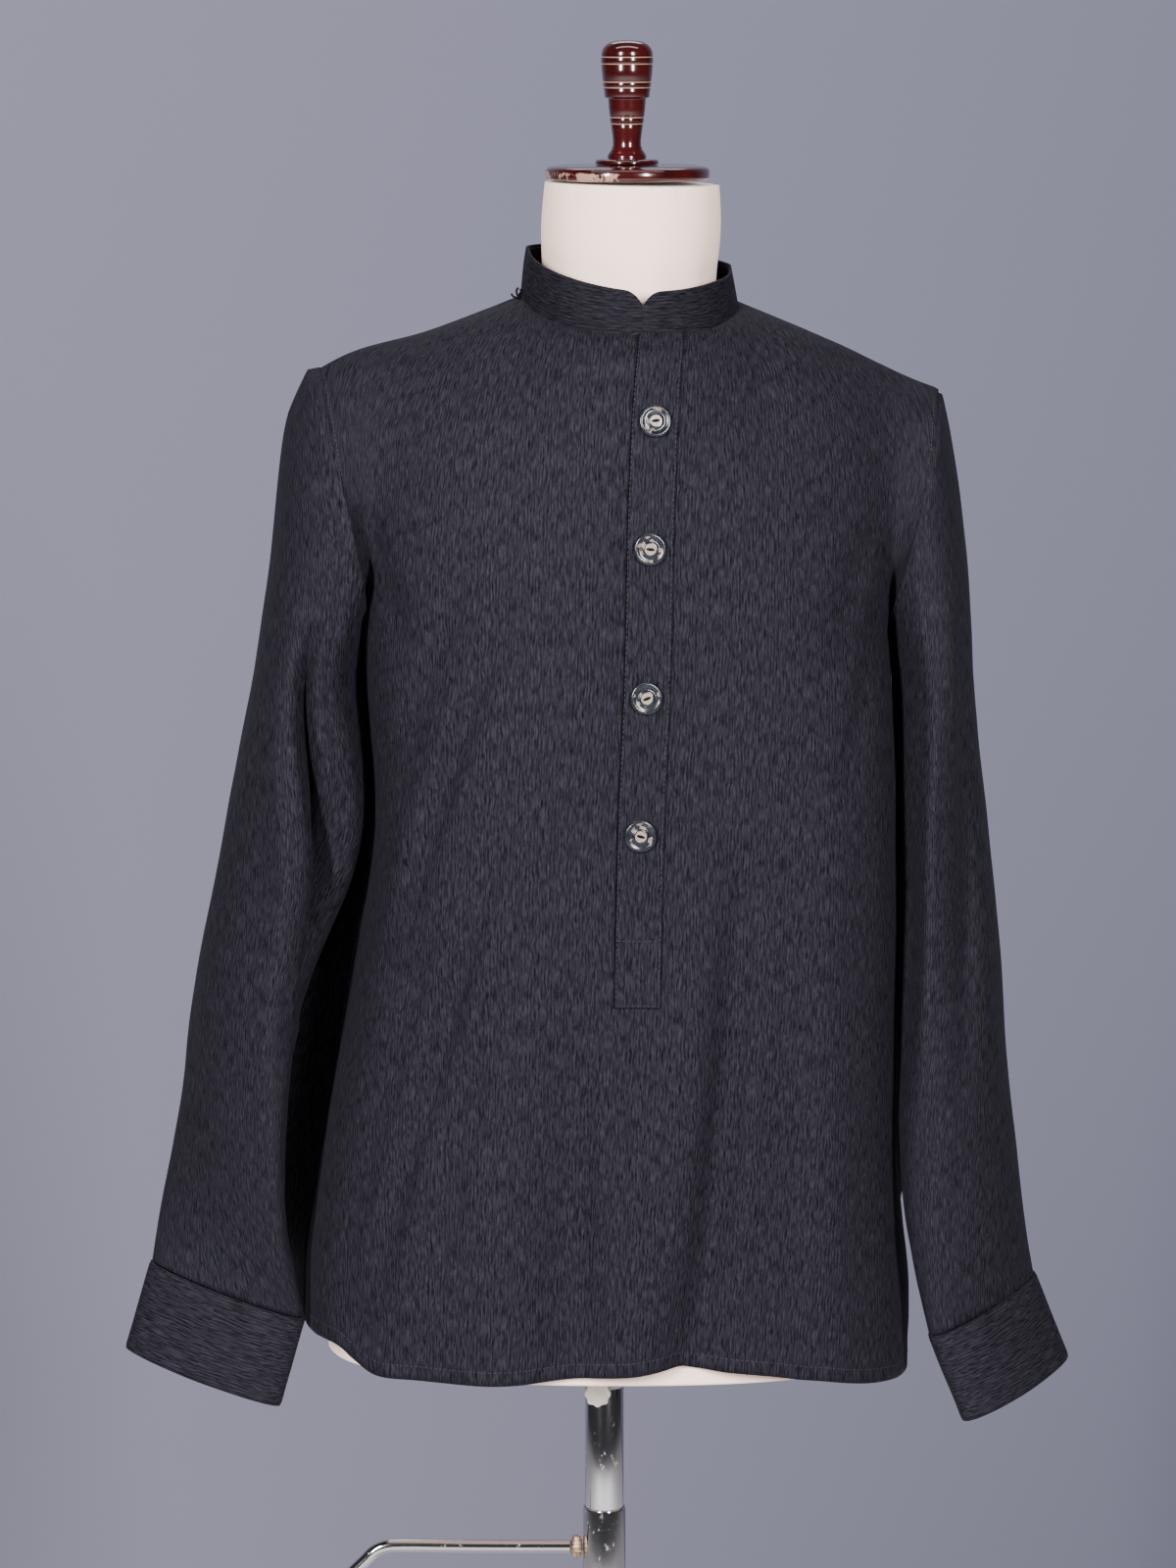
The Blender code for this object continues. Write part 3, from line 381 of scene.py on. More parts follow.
def posed(points):
    """Turn the upright rows with the form on its pole, then lean them."""
    points = np.asarray(points, float)
    x = points[..., 0] * math.cos(TURN) - points[..., 1] * math.sin(TURN)
    y = points[..., 0] * math.sin(TURN) + points[..., 1] * math.cos(TURN)
    z = points[..., 2] - PIVOT_Z
    leaned_x = x * math.cos(LEAN) + z * math.sin(LEAN)
    leaned_z = z * math.cos(LEAN) - x * math.sin(LEAN) + PIVOT_Z
    return np.stack([leaned_x, y, leaned_z], axis=-1)


# %% Body rows
DENSE = 241             # points on a row before it is cut to its columns


def half_ring(row, front):
    way = -1.0 if front else 1.0
    depth = row.front if front else row.back
    bearings = np.linspace(0.0, math.pi, DENSE)
    across = -np.cos(bearings)
    power = 2.0 / row.corner
    reach = np.where(across < 0.0, row.left, row.right)
    x = reach * np.sign(across) * np.abs(across) ** power
    y = way * depth * np.abs(np.sin(bearings)) ** power
    return spread(np.stack([x, y, np.full(DENSE, row.z)], axis=1), DENSE)


def neckline(front):
    middle = NECK_FRONT if front else NECK_BACK
    bearings = np.linspace(-math.pi / 2, math.pi / 2, DENSE)
    sag = 1.0 - np.cos(bearings)
    x = NECK_SIDE[0] * np.sin(bearings)
    y = middle[1] + (NECK_SIDE[1] - middle[1]) * sag
    z = middle[2] + (NECK_SIDE[2] - middle[2]) * sag**1.3
    return spread(np.stack([x, y, z], axis=1), DENSE)


def top_edge(front):
    """Shoulder seam, neckline, shoulder seam."""
    middle = neckline(front)
    share = np.linspace(-1.0, 1.0, DENSE)
    spot = (share / NECK_SHARE + 1.0) / 2.0 * (DENSE - 1)
    steps = np.arange(DENSE)
    line = np.stack([np.interp(spot, steps, middle[:, axis]) for axis in range(3)], axis=1)
    t = np.clip((np.abs(share) - NECK_SHARE) / (1.0 - NECK_SHARE), 0.0, 1.0)[:, None]
    side = np.stack([np.sign(share), np.ones(DENSE), np.ones(DENSE)], axis=1)
    shoulder = (NECK_SIDE + (SHOULDER_TIP - NECK_SIDE) * t) * side
    crown = np.where(shoulder[:, 0] < 0.0, SHOULDER_CROWN[-1], SHOULDER_CROWN[1])
    shoulder[:, 2] += crown * np.exp(-(((np.abs(shoulder[:, 0]) - CROWN_X) / CROWN_WIDE) ** 2))
    return np.where(t > 0.0, shoulder, line)


def crown_at_tip(side):
    return SHOULDER_CROWN[side] * (0.45 if side < 0 else 1.0)


# %% Rows above the underarm
CHEST = {front: half_ring(KURTA_ROWS[-1], front) for front in (True, False)}
TOP = {front: top_edge(front) for front in (True, False)}
ARMHOLE = {True: rounded_line(ARMHOLE_FRONT)[::-1], False: rounded_line(ARMHOLE_BACK)}


def upper_row(front, rise):
    """A row above the underarm: the chest row and the top edge joined by rounded arcs."""
    chest = CHEST[front]
    top = TOP[front]
    angle = rise * math.pi / 2
    climb = math.sin(angle) ** 0.92
    tuck = 1.0 - math.cos(angle) ** 0.92
    row = np.empty_like(chest)
    row[:, 0] = chest[:, 0] + (top[:, 0] - chest[:, 0]) * tuck**0.8
    row[:, 1] = chest[:, 1] + (top[:, 1] - chest[:, 1]) * tuck
    row[:, 2] = chest[:, 2] + (top[:, 2] - chest[:, 2]) * climb
    edge = at_distances(ARMHOLE[front], np.array([rise * length_along(ARMHOLE[front])[-1]]))[0]
    share = np.linspace(-1.0, 1.0, DENSE)
    for side, end in ((-1, 0), (1, -1)):
        lift = crown_at_tip(side) * rise**5
        shift = edge * np.array((side, 1.0, 1.0)) + np.array((0.0, 0.0, lift)) - row[end]
        half = share * side > 0
        row[half] += np.abs(share[half, None]) ** 5 * shift
    return row


print("armhole", length_along(ARMHOLE[True])[-1].round(), "+", length_along(ARMHOLE[False])[-1].round(), "mm")


# %% [markdown]
# ## Folds
# Nothing in hung cloth is straight. Each fold here is one line of a table: where it starts and
# ends on the cloth, how wide and how deep it is, and how sharp. The large ones are those that the
# solids already have. The fine ones are read off the photograph, and the back and the sleeves'
# hidden sides get ones of the same kind.

# %% Large folds, as in the solids
# out: how far the fold stands off the cloth, and inward where it is below zero
Fold = namedtuple("Fold", "x1 z1 x2 z2 width out")
LARGE_FRONT = (
    Fold(-76, 1330, -128, 1200, 26, -5),
    Fold(-62, 1280, -132, 1075, 24, -6),
    Fold(-80, 1125, -150, 850, 26, -8),
    Fold(-112, 960, -142, 832, 18, 5),
    Fold(-22, 990, -20, 812, 28, -6),
    Fold(-66, 930, -66, 812, 30, 7),
    Fold(18, 930, 18, 812, 16, 5),
    Fold(86, 1110, 56, 812, 24, -10),
    Fold(150, 960, 156, 812, 34, 5),
)
LARGE_BACK = (
    Fold(6, 1130, -4, 812, 30, -7),
    Fold(-70, 1100, -84, 812, 34, 6),
    Fold(78, 1120, 92, 812, 34, 6),
    Fold(-110, 1240, -140, 950, 26, -5),
    Fold(112, 1230, 146, 960, 26, -5),
)


def large_folds(folds, x, z):
    total = np.zeros_like(x)
    for fold in folds:
        run = np.array((fold.x2 - fold.x1, fold.z2 - fold.z1), float)
        t = ((x - fold.x1) * run[0] + (z - fold.z1) * run[1]) / (run @ run)
        held = np.clip(t, 0.0, 1.0)
        off = np.hypot(x - fold.x1 - held * run[0], z - fold.z1 - held * run[1])
        ease = 0.35 + 0.65 * np.sin(held * math.pi * 0.5)
        total += fold.out * ease * np.exp(-((off / fold.width) ** 2))
    return total


print("large folds", len(LARGE_FRONT), "in front and", len(LARGE_BACK), "behind")

# %% Fine creases
# x and z are where the crease lies on the dressed form, after posed()
# bow: how far the crease's middle swings aside; sharp: above 1 its one flank is steeper
Crease = namedtuple("Crease", "x1 z1 x2 z2 bow width out sharp")
FRONT_CREASES = (
    Crease(-79, 1334, -126, 1212, 3, 7, -2.0, 1.3),
    Crease(-62, 1292, -124, 1104, 4, 7, -2.2, 1.2),
    Crease(-75, 1288, -136, 1100, 4, 9, 2.6, 1.0),
    Crease(-48, 1286, -110, 1104, 4, 11, 2.4, 1.0),
    Crease(-66, 1152, -142, 858, 3, 7, -2.3, 1.2),
    Crease(-79, 1146, -156, 858, 3, 9, 3.2, 1.0),
    Crease(-52, 1152, -128, 860, 3, 11, 3.2, 1.0),
    Crease(-66, 1064, -109, 862, 0, 6, -1.9, 1.2),
    Crease(-112, 1000, -148, 842, -6, 8, 1.8, 1.2),
    Crease(-93, 1046, -80, 968, 3, 9, -1.6, 1.0),
    Crease(-100, 1015, -96, 925, 3, 8, -1.2, 1.0),
    Crease(-159, 1346, -141, 1335, 0, 4, -1.4, 1.0),
    Crease(-157, 1356, -138, 1346, 1, 3.5, -1.0, 1.0),
    Crease(-160, 1336, -146, 1322, -1, 4, 1.2, 1.0),
    Crease(-150, 1340, -128, 1262, -4, 9, -1.4, 1.2),
    Crease(-17, 1050, -19, 812, 0, 9, -3.4, 2.6),
    Crease(4, 1040, 2, 812, 0, 12, 2.2, 1.0),
    Crease(86, 1140, 57, 812, -4, 10, -2.2, 1.0),
    Crease(102, 1132, 74, 812, -4, 11, 2.8, 1.0),
    Crease(64, 1110, 32, 812, -4, 15, 4.4, 1.2),
    Crease(143, 1190, 148, 815, 4, 14, 1.5, 1.2),
    Crease(170, 1290, 150, 1180, -4, 8, -1.4, 1.1),
    Crease(168, 1345, 150, 1270, 3, 8, -1.5, 1.2),
    Crease(120, 1010, 118, 850, -3, 10, -1.0, 1.0),
    Crease(52, 1440, 132, 1408, 4, 9, -0.8, 1.0),
    Crease(-50, 1448, -128, 1424, 3, 9, -0.7, 1.0),
    Crease(60, 1400, 44, 1290, 3, 10, -0.7, 1.0),
    Crease(-20, 1180, -34, 1090, 3, 10, -0.7, 1.0),
    Crease(60, 1300, 70, 1180, 4, 11, -0.8, 1.0),
)
BACK_CREASES = (
    Crease(8, 1150, -6, 812, 8, 12, -2.2, 1.4),
    Crease(-60, 1180, -92, 820, -8, 12, 1.8, 1.2),
    Crease(70, 1170, 98, 816, 8, 12, 1.9, 1.2),
    Crease(-112, 1250, -142, 940, -8, 10, -1.9, 1.4),
    Crease(114, 1240, 150, 950, 9, 10, -2.0, 1.4),
    Crease(-30, 1010, -38, 812, 3, 10, -1.3, 1.0),
    Crease(44, 1030, 40, 812, -4, 10, -1.4, 1.0),
    Crease(-150, 1340, -120, 1290, 3, 6, -1.4, 1.1),
    Crease(152, 1345, 124, 1288, -3, 6, -1.5, 1.1),
    Crease(-60, 1392, -110, 1340, 4, 9, -1.0, 1.0),
    Crease(66, 1390, 112, 1336, -4, 9, -1.0, 1.0),
)


def crease_out(creases, x, z):
    """How far the fine creases move the cloth outward, in millimetres, at places (x, z)."""
    total = np.zeros_like(x)
    for crease in creases:
        start = np.array((crease.x1, crease.z1), float)
        run = np.array((crease.x2, crease.z2), float) - start
        span = math.hypot(*run)
        along = run / span
        t = ((x - start[0]) * along[0] + (z - start[1]) * along[1]) / span
        inside = np.clip(t, 0.0, 1.0)
        swing = crease.bow * 4.0 * inside * (1.0 - inside)
        off = (x - start[0]) * along[1] - (z - start[1]) * along[0] - swing
        end_off = (t - inside) * span
        flank = np.where(off > 0.0, crease.width * crease.sharp, crease.width)
        reach = (off / flank) ** 2 + (end_off / (1.5 * crease.width)) ** 2
        total += crease.out * np.sin(math.pi * (0.08 + 0.84 * inside)) ** 0.8 * np.exp(-reach)
    return total


print("fine creases", len(FRONT_CREASES), "in front and", len(BACK_CREASES), "behind")


# %% Slow unevenness
def slow_swell(points, size, height, seed):
    """Gentle unevenness that no table could list, the same in every run."""
    flat = points.reshape(-1, 3)
    offset = Vector((seed * 7.3, seed * 3.1, seed * 1.7))
    swell = [noise.noise(Vector(point) / size + offset) for point in flat]
    return np.array(swell).reshape(points.shape[:2]) * height


# %% Body grids
def row_z(level):
    return HEM_Z + (UNDERARM_Z - HEM_Z) * min(level, 1.0)


def body_row(front, level):
    if level <= 1.0:
        z = row_z(level)
        row = half_ring(smooth_between(KURTA_ROWS, z), front)
        row[:, 2] -= row[:, 0] * HEM_TILT * max(0.0, (TILT_TOP_Z - z) / (TILT_TOP_Z - HEM_Z))
    else:
        row = upper_row(front, level - 1.0)
    row = posed(row)
    way = -1.0 if front else 1.0
    facing = np.clip(way * row[:, 1] / 90.0, 0.0, 1.0)
    folds = LARGE_FRONT if front else LARGE_BACK
    row[:, 1] += way * facing * large_folds(folds, row[:, 0], row[:, 2])
    row[:, 2] -= hem_drop(front, row[:, 0], level)
    return row


# %% The hem's own line
# how far each hem hangs below its plain row, by x; the cloth above follows it
FRONT_HEM = (
    (-190, 0.0), (-172, 1.0), (-160, 8.0), (-146, 14.0), (-120, 13.0), (-81, 11.0), (-63, 9.5),
    (-41, 7.5), (0, 3.0), (32, -2.0), (48, -5.0), (59, -3.5), (99, -1.0), (125, 2.0),
    (143, 3.7), (168, 8.0), (190, 11.0),
)
BACK_HEM = (
    (-190, 4.0), (-150, -2.0), (-95, 5.0), (-30, 8.0), (8, 3.0), (50, 7.0), (110, 4.0),
    (150, -1.5), (190, 6.0),
)
HEM_REACH = 130.0       # the hem's line dies out this far up


def hem_drop(front, x, level):
    places, drops = zip(*(FRONT_HEM if front else BACK_HEM))
    near = max(0.0, 1.0 - (row_z(level) - HEM_Z) / HEM_REACH)
    knots = rounded_line([(place, drop, 0.0) for place, drop in zip(places, drops)], 6)
    return np.interp(x, knots[:, 0], knots[:, 1]) * near**2


def side_inset(level):
    opening = max(0.0, (VENT_TOP_Z - row_z(level)) / (VENT_TOP_Z - HEM_Z))
    return 0.25 + VENT_OPEN / 2 * opening


def surface_normals(points):
    across = np.gradient(points, axis=1)
    up = np.gradient(points, axis=0)
    normal = np.cross(across, up)
    return normal / np.maximum(np.linalg.norm(normal, axis=2, keepdims=True), 1e-9)


def slit_x(z):
    return smooth_between(SLIT_ROWS, z).x


# %% The front's grid
# Level 0 is the hem, 1 the underarm and 2 the top edge. The slit down the middle has a column of
# quads of its own, one millimetre wide.
SIDE_STEPS = 84
SLIT_HALF = 0.5
SHOULDER_SEAM = 0.0020  # of a level: the front stops this far short of the yoke
front_levels = np.concatenate((np.linspace(0.0, 1.0, 121), np.linspace(1.0, 2.0, 57)[1:]))
front_levels[-1] -= SHOULDER_SEAM
front_rows = []
front_across = []
for level in front_levels:
    row = body_row(True, level)
    along = length_along(row)
    order = np.argsort(row[:, 0])
    middle = np.interp(slit_x(float(np.median(row[:, 2]))), row[order, 0], along[order])
    inset = side_inset(level)
    left = np.linspace(inset, middle - SLIT_HALF, SIDE_STEPS + 1)
    right = np.linspace(middle + SLIT_HALF, along[-1] - inset, SIDE_STEPS + 1)
    distances = np.concatenate((left, right))
    front_rows.append(at_distances(row, distances))
    front_across.append(distances - middle)
front_base = np.array(front_rows)
front_across = np.array(front_across)
front_normal = surface_normals(front_base)
print("front grid", front_base.shape)

# %% Creases put on a grid
CREASE_GAIN = 1.7       # the tables hold depths as first read; the cloth wanted more


def creased(points, normal, creases, seed, swell=0.9):
    """The base surface with its fine creases, eased out at the sides where the seam holds it."""
    columns = points.shape[1]
    share = np.abs(np.linspace(-1.0, 1.0, columns))
    hold = 0.35 + 0.65 * np.clip((1.0 - share) * 14.0, 0.0, 1.0)
    rows = points.shape[0]
    top_hold = np.clip((rows - 1 - np.arange(rows)) / 6.0, 0.0, 1.0)
    move = crease_out(creases, points[..., 0], points[..., 2]) * CREASE_GAIN
    move += slow_swell(points, 55.0, swell, seed) + slow_swell(points, 17.0, swell * 0.35, seed + 3)
    return points + normal * (move * hold[None, :] * top_hold[:, None])[..., None]


front_points = creased(front_base, front_normal, FRONT_CREASES, 1.0)

# the cloth dips beside the placket's free edge, which gives the edge its dark line in the chest
DIP = 2.2
dip_up = np.clip((front_base[..., 2] - 1150.0) / 60.0, 0.0, 1.0)
beside = np.exp(-(((front_across + 4.0) / 2.4) ** 2)) * dip_up
front_points -= front_normal * (DIP * beside)[..., None]
print("fine creases move the front by up to", np.abs(front_points - front_base).max().round(1), "mm")

# %% [markdown]
# ## From a grid of points to a sheet of cloth
# Blender's grid operator gives the quads. Its vertices are moved onto the points, and every corner
# gets its place on the flat cloth in metres as its UV, so that the weave keeps one size all over
# the kurta. A Solidify modifier gives the cloth its thickness.

# %% Cloth sheet
def cloth_sheet(name, points, flat_place, closed=False):
    """A grid of quads on the points, with its flat places as UVs; closed joins first to last."""
    rows, columns = points.shape[:2]
    shape = bmesh.new()
    bmesh.ops.create_grid(shape, x_segments=columns - 1, y_segments=rows - 1, size=0.5)
    piece = piece_from(shape, name)
    mesh = piece.data
    mesh.vertices.foreach_set("co", (points * MM).astype(np.float32).ravel())
    layer = mesh.uv_layers.new(name="cloth")
    corners = np.empty(len(mesh.loops), np.int32)
    mesh.loops.foreach_get("vertex_index", corners)
    places = (flat_place * MM).reshape(-1, 2)[corners].astype(np.float32)
    layer.data.foreach_set("uv", places.ravel())
    if closed:
        shape = bmesh.new()
        shape.from_mesh(mesh)
        bmesh.ops.remove_doubles(shape, verts=shape.verts, dist=2e-6)
        shape.to_mesh(mesh)
        shape.free()
        mesh.shade_smooth()
    return piece


def thicken(piece, thickness, outward=False):
    solid = piece.modifiers.new("thickness", "SOLIDIFY")
    solid.thickness = thickness * MM
    solid.offset = 1.0 if outward else -1.0
    solid.use_even_offset = False
    return piece


def flat_places(points, across):
    """Across the cloth as given; up it by the length of each column."""
    steps = np.linalg.norm(np.diff(points, axis=0), axis=2)
    up = np.vstack((np.zeros((1, points.shape[1])), np.cumsum(steps, axis=0)))
    return np.stack([across, up], axis=2)


# %% [markdown]
# ## The crepe
# The cloth is a dark blue-black crepe. Fine light threads run up it in broken, wavy streaks, and
# they part and close round small ovals that stand in offset rows. A node group draws this once
# from the flat place of the cloth, and hands out colour, height and roughness.

# %% The figure: ovals in offset rows
def weave_figure(group, u, v, place):
    """Masks of the woven ovals: their light ring, their dark rim and their dark core."""
    # columns 10.5 mm apart and rows 16 mm apart; each second column stands half a row higher
    column = calc(group, "DIVIDE", u, 0.0105)
    odd = times(group, calc(group, "FLOORED_MODULO", calc(group, "FLOOR", column), 2.0), 0.5)
    wander = times(group, noise_at(group, place, 20.0, 1.0), 0.55)
    rise = plus(group, plus(group, calc(group, "DIVIDE", v, 0.0160), odd), wander)
    cell_x = calc(group, "SUBTRACT", calc(group, "FRACT", column), 0.5)
    cell_y = calc(group, "SUBTRACT", calc(group, "FRACT", rise), 0.5)
    radius = hypotenuse(group, calc(group, "DIVIDE", cell_x, 0.42), calc(group, "DIVIDE", cell_y, 0.47))
    rim = between(group, 0.22, 0.02, away_from(group, radius, 1.02))
    ring = between(group, 0.24, 0.04, away_from(group, radius, 0.68))
    core = between(group, 0.42, 0.10, radius)
    return ring, rim, core


# %% The threads: fine upright streaks
def weave_threads(group, u, v):
    """Two sizes of broken streak, and a faint even comb of threads 2.1 mm apart under them."""
    wavy = add(group, "ShaderNodeCombineXYZ", i0=u, i1=v, i2=0.0).outputs[0]
    coarse = noise_at(group, wavy, 1050.0, 1.0, 0.5, stretch=(1.0, 0.085, 1.0))
    fine = noise_at(group, wavy, 1800.0, 1.0, 0.5, stretch=(1.0, 0.12, 1.0))
    phase = times(group, noise_at(group, wavy, 90.0, 1.0, stretch=(1.0, 0.5, 1.0)), 5.0)
    comb = calc(group, "SINE", calc(group, "MULTIPLY_ADD", u, 2.0 * math.pi / 0.0021, phase))
    comb = calc(group, "MULTIPLY_ADD", comb, 0.5, 0.5)
    streak = plus(group, times(group, between(group, 0.38, 0.64, coarse), 0.50),
                  times(group, between(group, 0.38, 0.64, fine), 0.30))
    return plus(group, streak, times(group, comb, 0.20))


# %% How light the threads are, and in what tint
def weave_light(group, streak, grain, masks, figure_share):
    ring, rim, core = masks
    dark = plus(group, rim, times(group, core, 0.2))
    figure = plus(group, times(group, ring, 0.08), times(group, dark, -0.17))
    figure = times(group, figure, figure_share)
    light = times(group, streak, plus(group, figure, 0.92))
    light = plus(group, light, times(group, figure, 0.10))
    speckle = times(group, calc(group, "SUBTRACT", grain, 0.5), 0.45)
    return plus(group, light, speckle, clamp=True)


def weave_colour(group, light, place):
    tint = between(group, 0.35, 0.65, noise_at(group, place, 900.0, 1.0, stretch=(1.0, 0.3, 1.0)))
    ground = blend(group, tint, (0.0006, 0.0003, 0.0016), (0.0005, 0.0007, 0.0013))
    pale = blend(group, tint, (0.0262, 0.0212, 0.0350), (0.0226, 0.0240, 0.0322))
    return blend(group, light, ground, pale)


# %% Weave group
def make_weave():
    group = bpy.data.node_groups.new("figured crepe", "ShaderNodeTree")
    face = group.interface
    face.new_socket(name="Place", in_out="INPUT", socket_type="NodeSocketVector")
    for label in ("Figure", "Lightness"):
        face.new_socket(name=label, in_out="INPUT", socket_type="NodeSocketFloat").default_value = 1.0
    face.new_socket(name="Color", in_out="OUTPUT", socket_type="NodeSocketColor")
    face.new_socket(name="Height", in_out="OUTPUT", socket_type="NodeSocketFloat")
    face.new_socket(name="Rough", in_out="OUTPUT", socket_type="NodeSocketFloat")
    enter = group.nodes.new("NodeGroupInput")
    leave = group.nodes.new("NodeGroupOutput")
    place = enter.outputs["Place"]

    # every thread wanders a little sideways, so no line of the figure is ruler-straight
    warp = noise_at(group, place, 150.0, 2.0, stretch=(1.0, 0.5, 1.0))
    side = times(group, calc(group, "SUBTRACT", warp, 0.5), 0.0026)
    split = add(group, "ShaderNodeSeparateXYZ", i0=place)
    u = plus(group, split.outputs[0], side)
    v = split.outputs[1]
    masks = weave_figure(group, u, v, place)
    streak = weave_threads(group, u, v)
    grain = noise_at(group, place, 3200.0, 1.0, stretch=(1.0, 0.4, 1.0))
    light = weave_light(group, streak, grain, masks, enter.outputs["Figure"])

    scaled = add(group, "ShaderNodeVectorMath", operation="SCALE", i0=weave_colour(group, light, place))
    put(scaled.inputs["Scale"], enter.outputs["Lightness"])
    put(leave.inputs["Color"], scaled.outputs[0])
    height = plus(group, times(group, streak, 0.7), times(group, masks[1], -0.5))
    put(leave.inputs["Height"], plus(group, height, times(group, grain, 0.3)))
    put(leave.inputs["Rough"], calc(group, "MULTIPLY_ADD", light, -0.15, 0.82))
    return group


weave = make_weave()
print("weave group", len(weave.nodes), "nodes")


# %% Crepe materials
def crepe_material(name, turned=False, figure=1.0, lightness=1.0, edge=None):
    """turned: the grain runs along the band; edge: painted shade, the free edge is darker up to this place.
    """
    made, tree, shader = new_material(name, 0.8)
    place = add(tree, "ShaderNodeUVMap", uv_map="cloth").outputs[0]
    if turned:
        place = add(tree, "ShaderNodeMapping", i0=place, i2=(0.0, 0.0, math.pi / 2)).outputs[0]
    drawn = tree.nodes.new("ShaderNodeGroup")
    drawn.node_tree = weave
    put(drawn.inputs["Place"], place)
    drawn.inputs["Figure"].default_value = figure
    drawn.inputs["Lightness"].default_value = lightness
    # painted shade: the colour is darkened near the free edge, where its shadow falls
    if edge:
        across = add(tree, "ShaderNodeSeparateXYZ", i0=place).outputs[0]
        inside = between(tree, edge * 0.55, edge, across)
        put(drawn.inputs["Lightness"], calc(tree, "MULTIPLY_ADD", inside, lightness - 0.12, 0.12))
    put(shader.inputs["Base Color"], drawn.outputs["Color"])
    put(shader.inputs["Roughness"], drawn.outputs["Rough"])
    shader.inputs["Specular IOR Level"].default_value = 0.07
    shader.inputs["Sheen Weight"].default_value = 0.015
    shader.inputs["Sheen Roughness"].default_value = 0.4
    shader.inputs["Sheen Tint"].default_value = (0.75, 0.75, 0.9, 1.0)
    bump(tree, shader, drawn.outputs["Height"], 0.00035, 0.55)
    return made


crepe = crepe_material("crepe")
crepe_cuff = crepe_material("crepe on the cuffs", turned=True, figure=0.25, lightness=0.95)
# painted shade: the collar's crepe is a darker copy of the body's, standing in for the shade on the band
crepe_collar = crepe_material("crepe on the collar", turned=True, figure=0.25, lightness=0.74)
# painted shade along the placket's free edge
crepe_placket = crepe_material("crepe on the placket, painted edge shade", edge=0.0024)
print("crepe materials", 4)

# %% [markdown]
# ## Front, back and yoke
# The front is one piece of cloth with a slit down its middle, which the placket later covers. Two
# halves would do as well, but a real one is cut in one piece below the slit. The quads of the
# slit's own column are deleted, from the neck down to the slit's end. The back hangs a little
# wider than the front at the sides, and stops at the yoke, a narrow piece under the collar.

# %% Front panel
front = cloth_sheet("kurta_front", front_points, flat_places(front_points, front_across))
sheet = bmesh.new()
sheet.from_mesh(front.data)
sheet.verts.ensure_lookup_table()
columns = front_points.shape[1]
opening = []
for face in sheet.faces:
    spots = [divmod(vertex.index, columns) for vertex in face.verts]
    low = min(front_points[spot][2] for spot in spots)
    if {spot[1] for spot in spots} == {SIDE_STEPS, SIDE_STEPS + 1} and low > SLIT_END_Z:
        opening.append(face)
bmesh.ops.delete(sheet, geom=opening, context="FACES")
sheet.to_mesh(front.data)
sheet.free()
thicken(front, CLOTH)
ready(front, crepe, ["front_panel"])
print("front", len(front.data.polygons), "quads; slit", len(opening), "quads long")

# %% Fullness behind the side seams
# how far out the back stands there, by height
FULL_LEFT = (
    (812, 9.0), (850, 11.0), (873, 21.0), (905, 29.0), (945, 34.0), (1000, 37.0), (1060, 35.0),
    (1095, 22.0), (1135, 14.0), (1215, 10.0), (1262, 6.0), (1279, 0.0),
)
FULL_RIGHT = (
    (812, 0.0), (870, 1.0), (900, 12.0), (930, 18.0), (1000, 20.0), (1100, 16.0), (1215, 9.0),
    (1262, 5.0), (1279, 0.0),
)


def side_fullness(points):
    """The back hangs a little wider than the front behind the side seams."""
    share = np.linspace(1.0, -1.0, points.shape[1])
    behind = np.clip((1.0 - np.abs(share)) / 0.30, 0.0, 1.0)
    swell = np.sin(math.pi * behind) ** 1.2
    for side, table in ((-1, FULL_LEFT), (1, FULL_RIGHT)):
        heights, out = zip(*table)
        more = np.interp(points[..., 2], heights, out)
        points[..., 0] += side * more * np.where(share * side > 0.0, swell, 0.0)
    return points


# %% Back panel and yoke
YOKE_RISE = 0.7         # the yoke's seam lies this far up from the underarm to the top edge
YOKE_SEAM = 0.0008      # half the gap at the yoke's seams, in levels
BACK_COLUMNS = 151


def back_grid(levels, creases, seed):
    rows = []
    across = []
    for level in levels:
        row = body_row(False, level)
        inset = side_inset(level)
        total = length_along(row)[-1]
        distances = np.linspace(inset, total - inset, BACK_COLUMNS)
        rows.append(at_distances(row, distances))
        across.append(distances - total / 2)
    points = np.array(rows)[:, ::-1]
    across = np.array(across)
    points = side_fullness(points)
    points = creased(points, surface_normals(points), creases, seed)
    return points, flat_places(points, across)


lower = np.linspace(0.0, 1.0, 121)
upper = np.linspace(1.0, 1.0 + YOKE_RISE - YOKE_SEAM, 40)[1:]
back_points, back_flat = back_grid(np.concatenate((lower, upper)), BACK_CREASES, 5.0)
back = thicken(cloth_sheet("kurta_back", back_points, back_flat), CLOTH)
ready(back, crepe, ["back_panel"])
yoke_points, yoke_flat = back_grid(np.linspace(1.0 + YOKE_RISE + YOKE_SEAM, 2.0 - YOKE_SEAM, 24), (), 8.0)
yoke_flat_start = np.array((4.0, 700.0))  # cut further up the cloth, so its figure is its own
yoke = thicken(cloth_sheet("kurta_yoke", yoke_points, yoke_flat + yoke_flat_start), CLOTH)
ready(yoke, crepe, ["back_yoke"])
print("back", back_points.shape, "yoke", yoke_points.shape)

# %% [markdown]
# ## Sleeves and cuffs
# A sleeve is a tube that starts at the armhole seam and hangs from it, flattened by its own
# weight. Its sections turn as it goes down, because the forearm is cut to swing forward. Creases
# on it are placed by the bearing round the sleeve and by height.

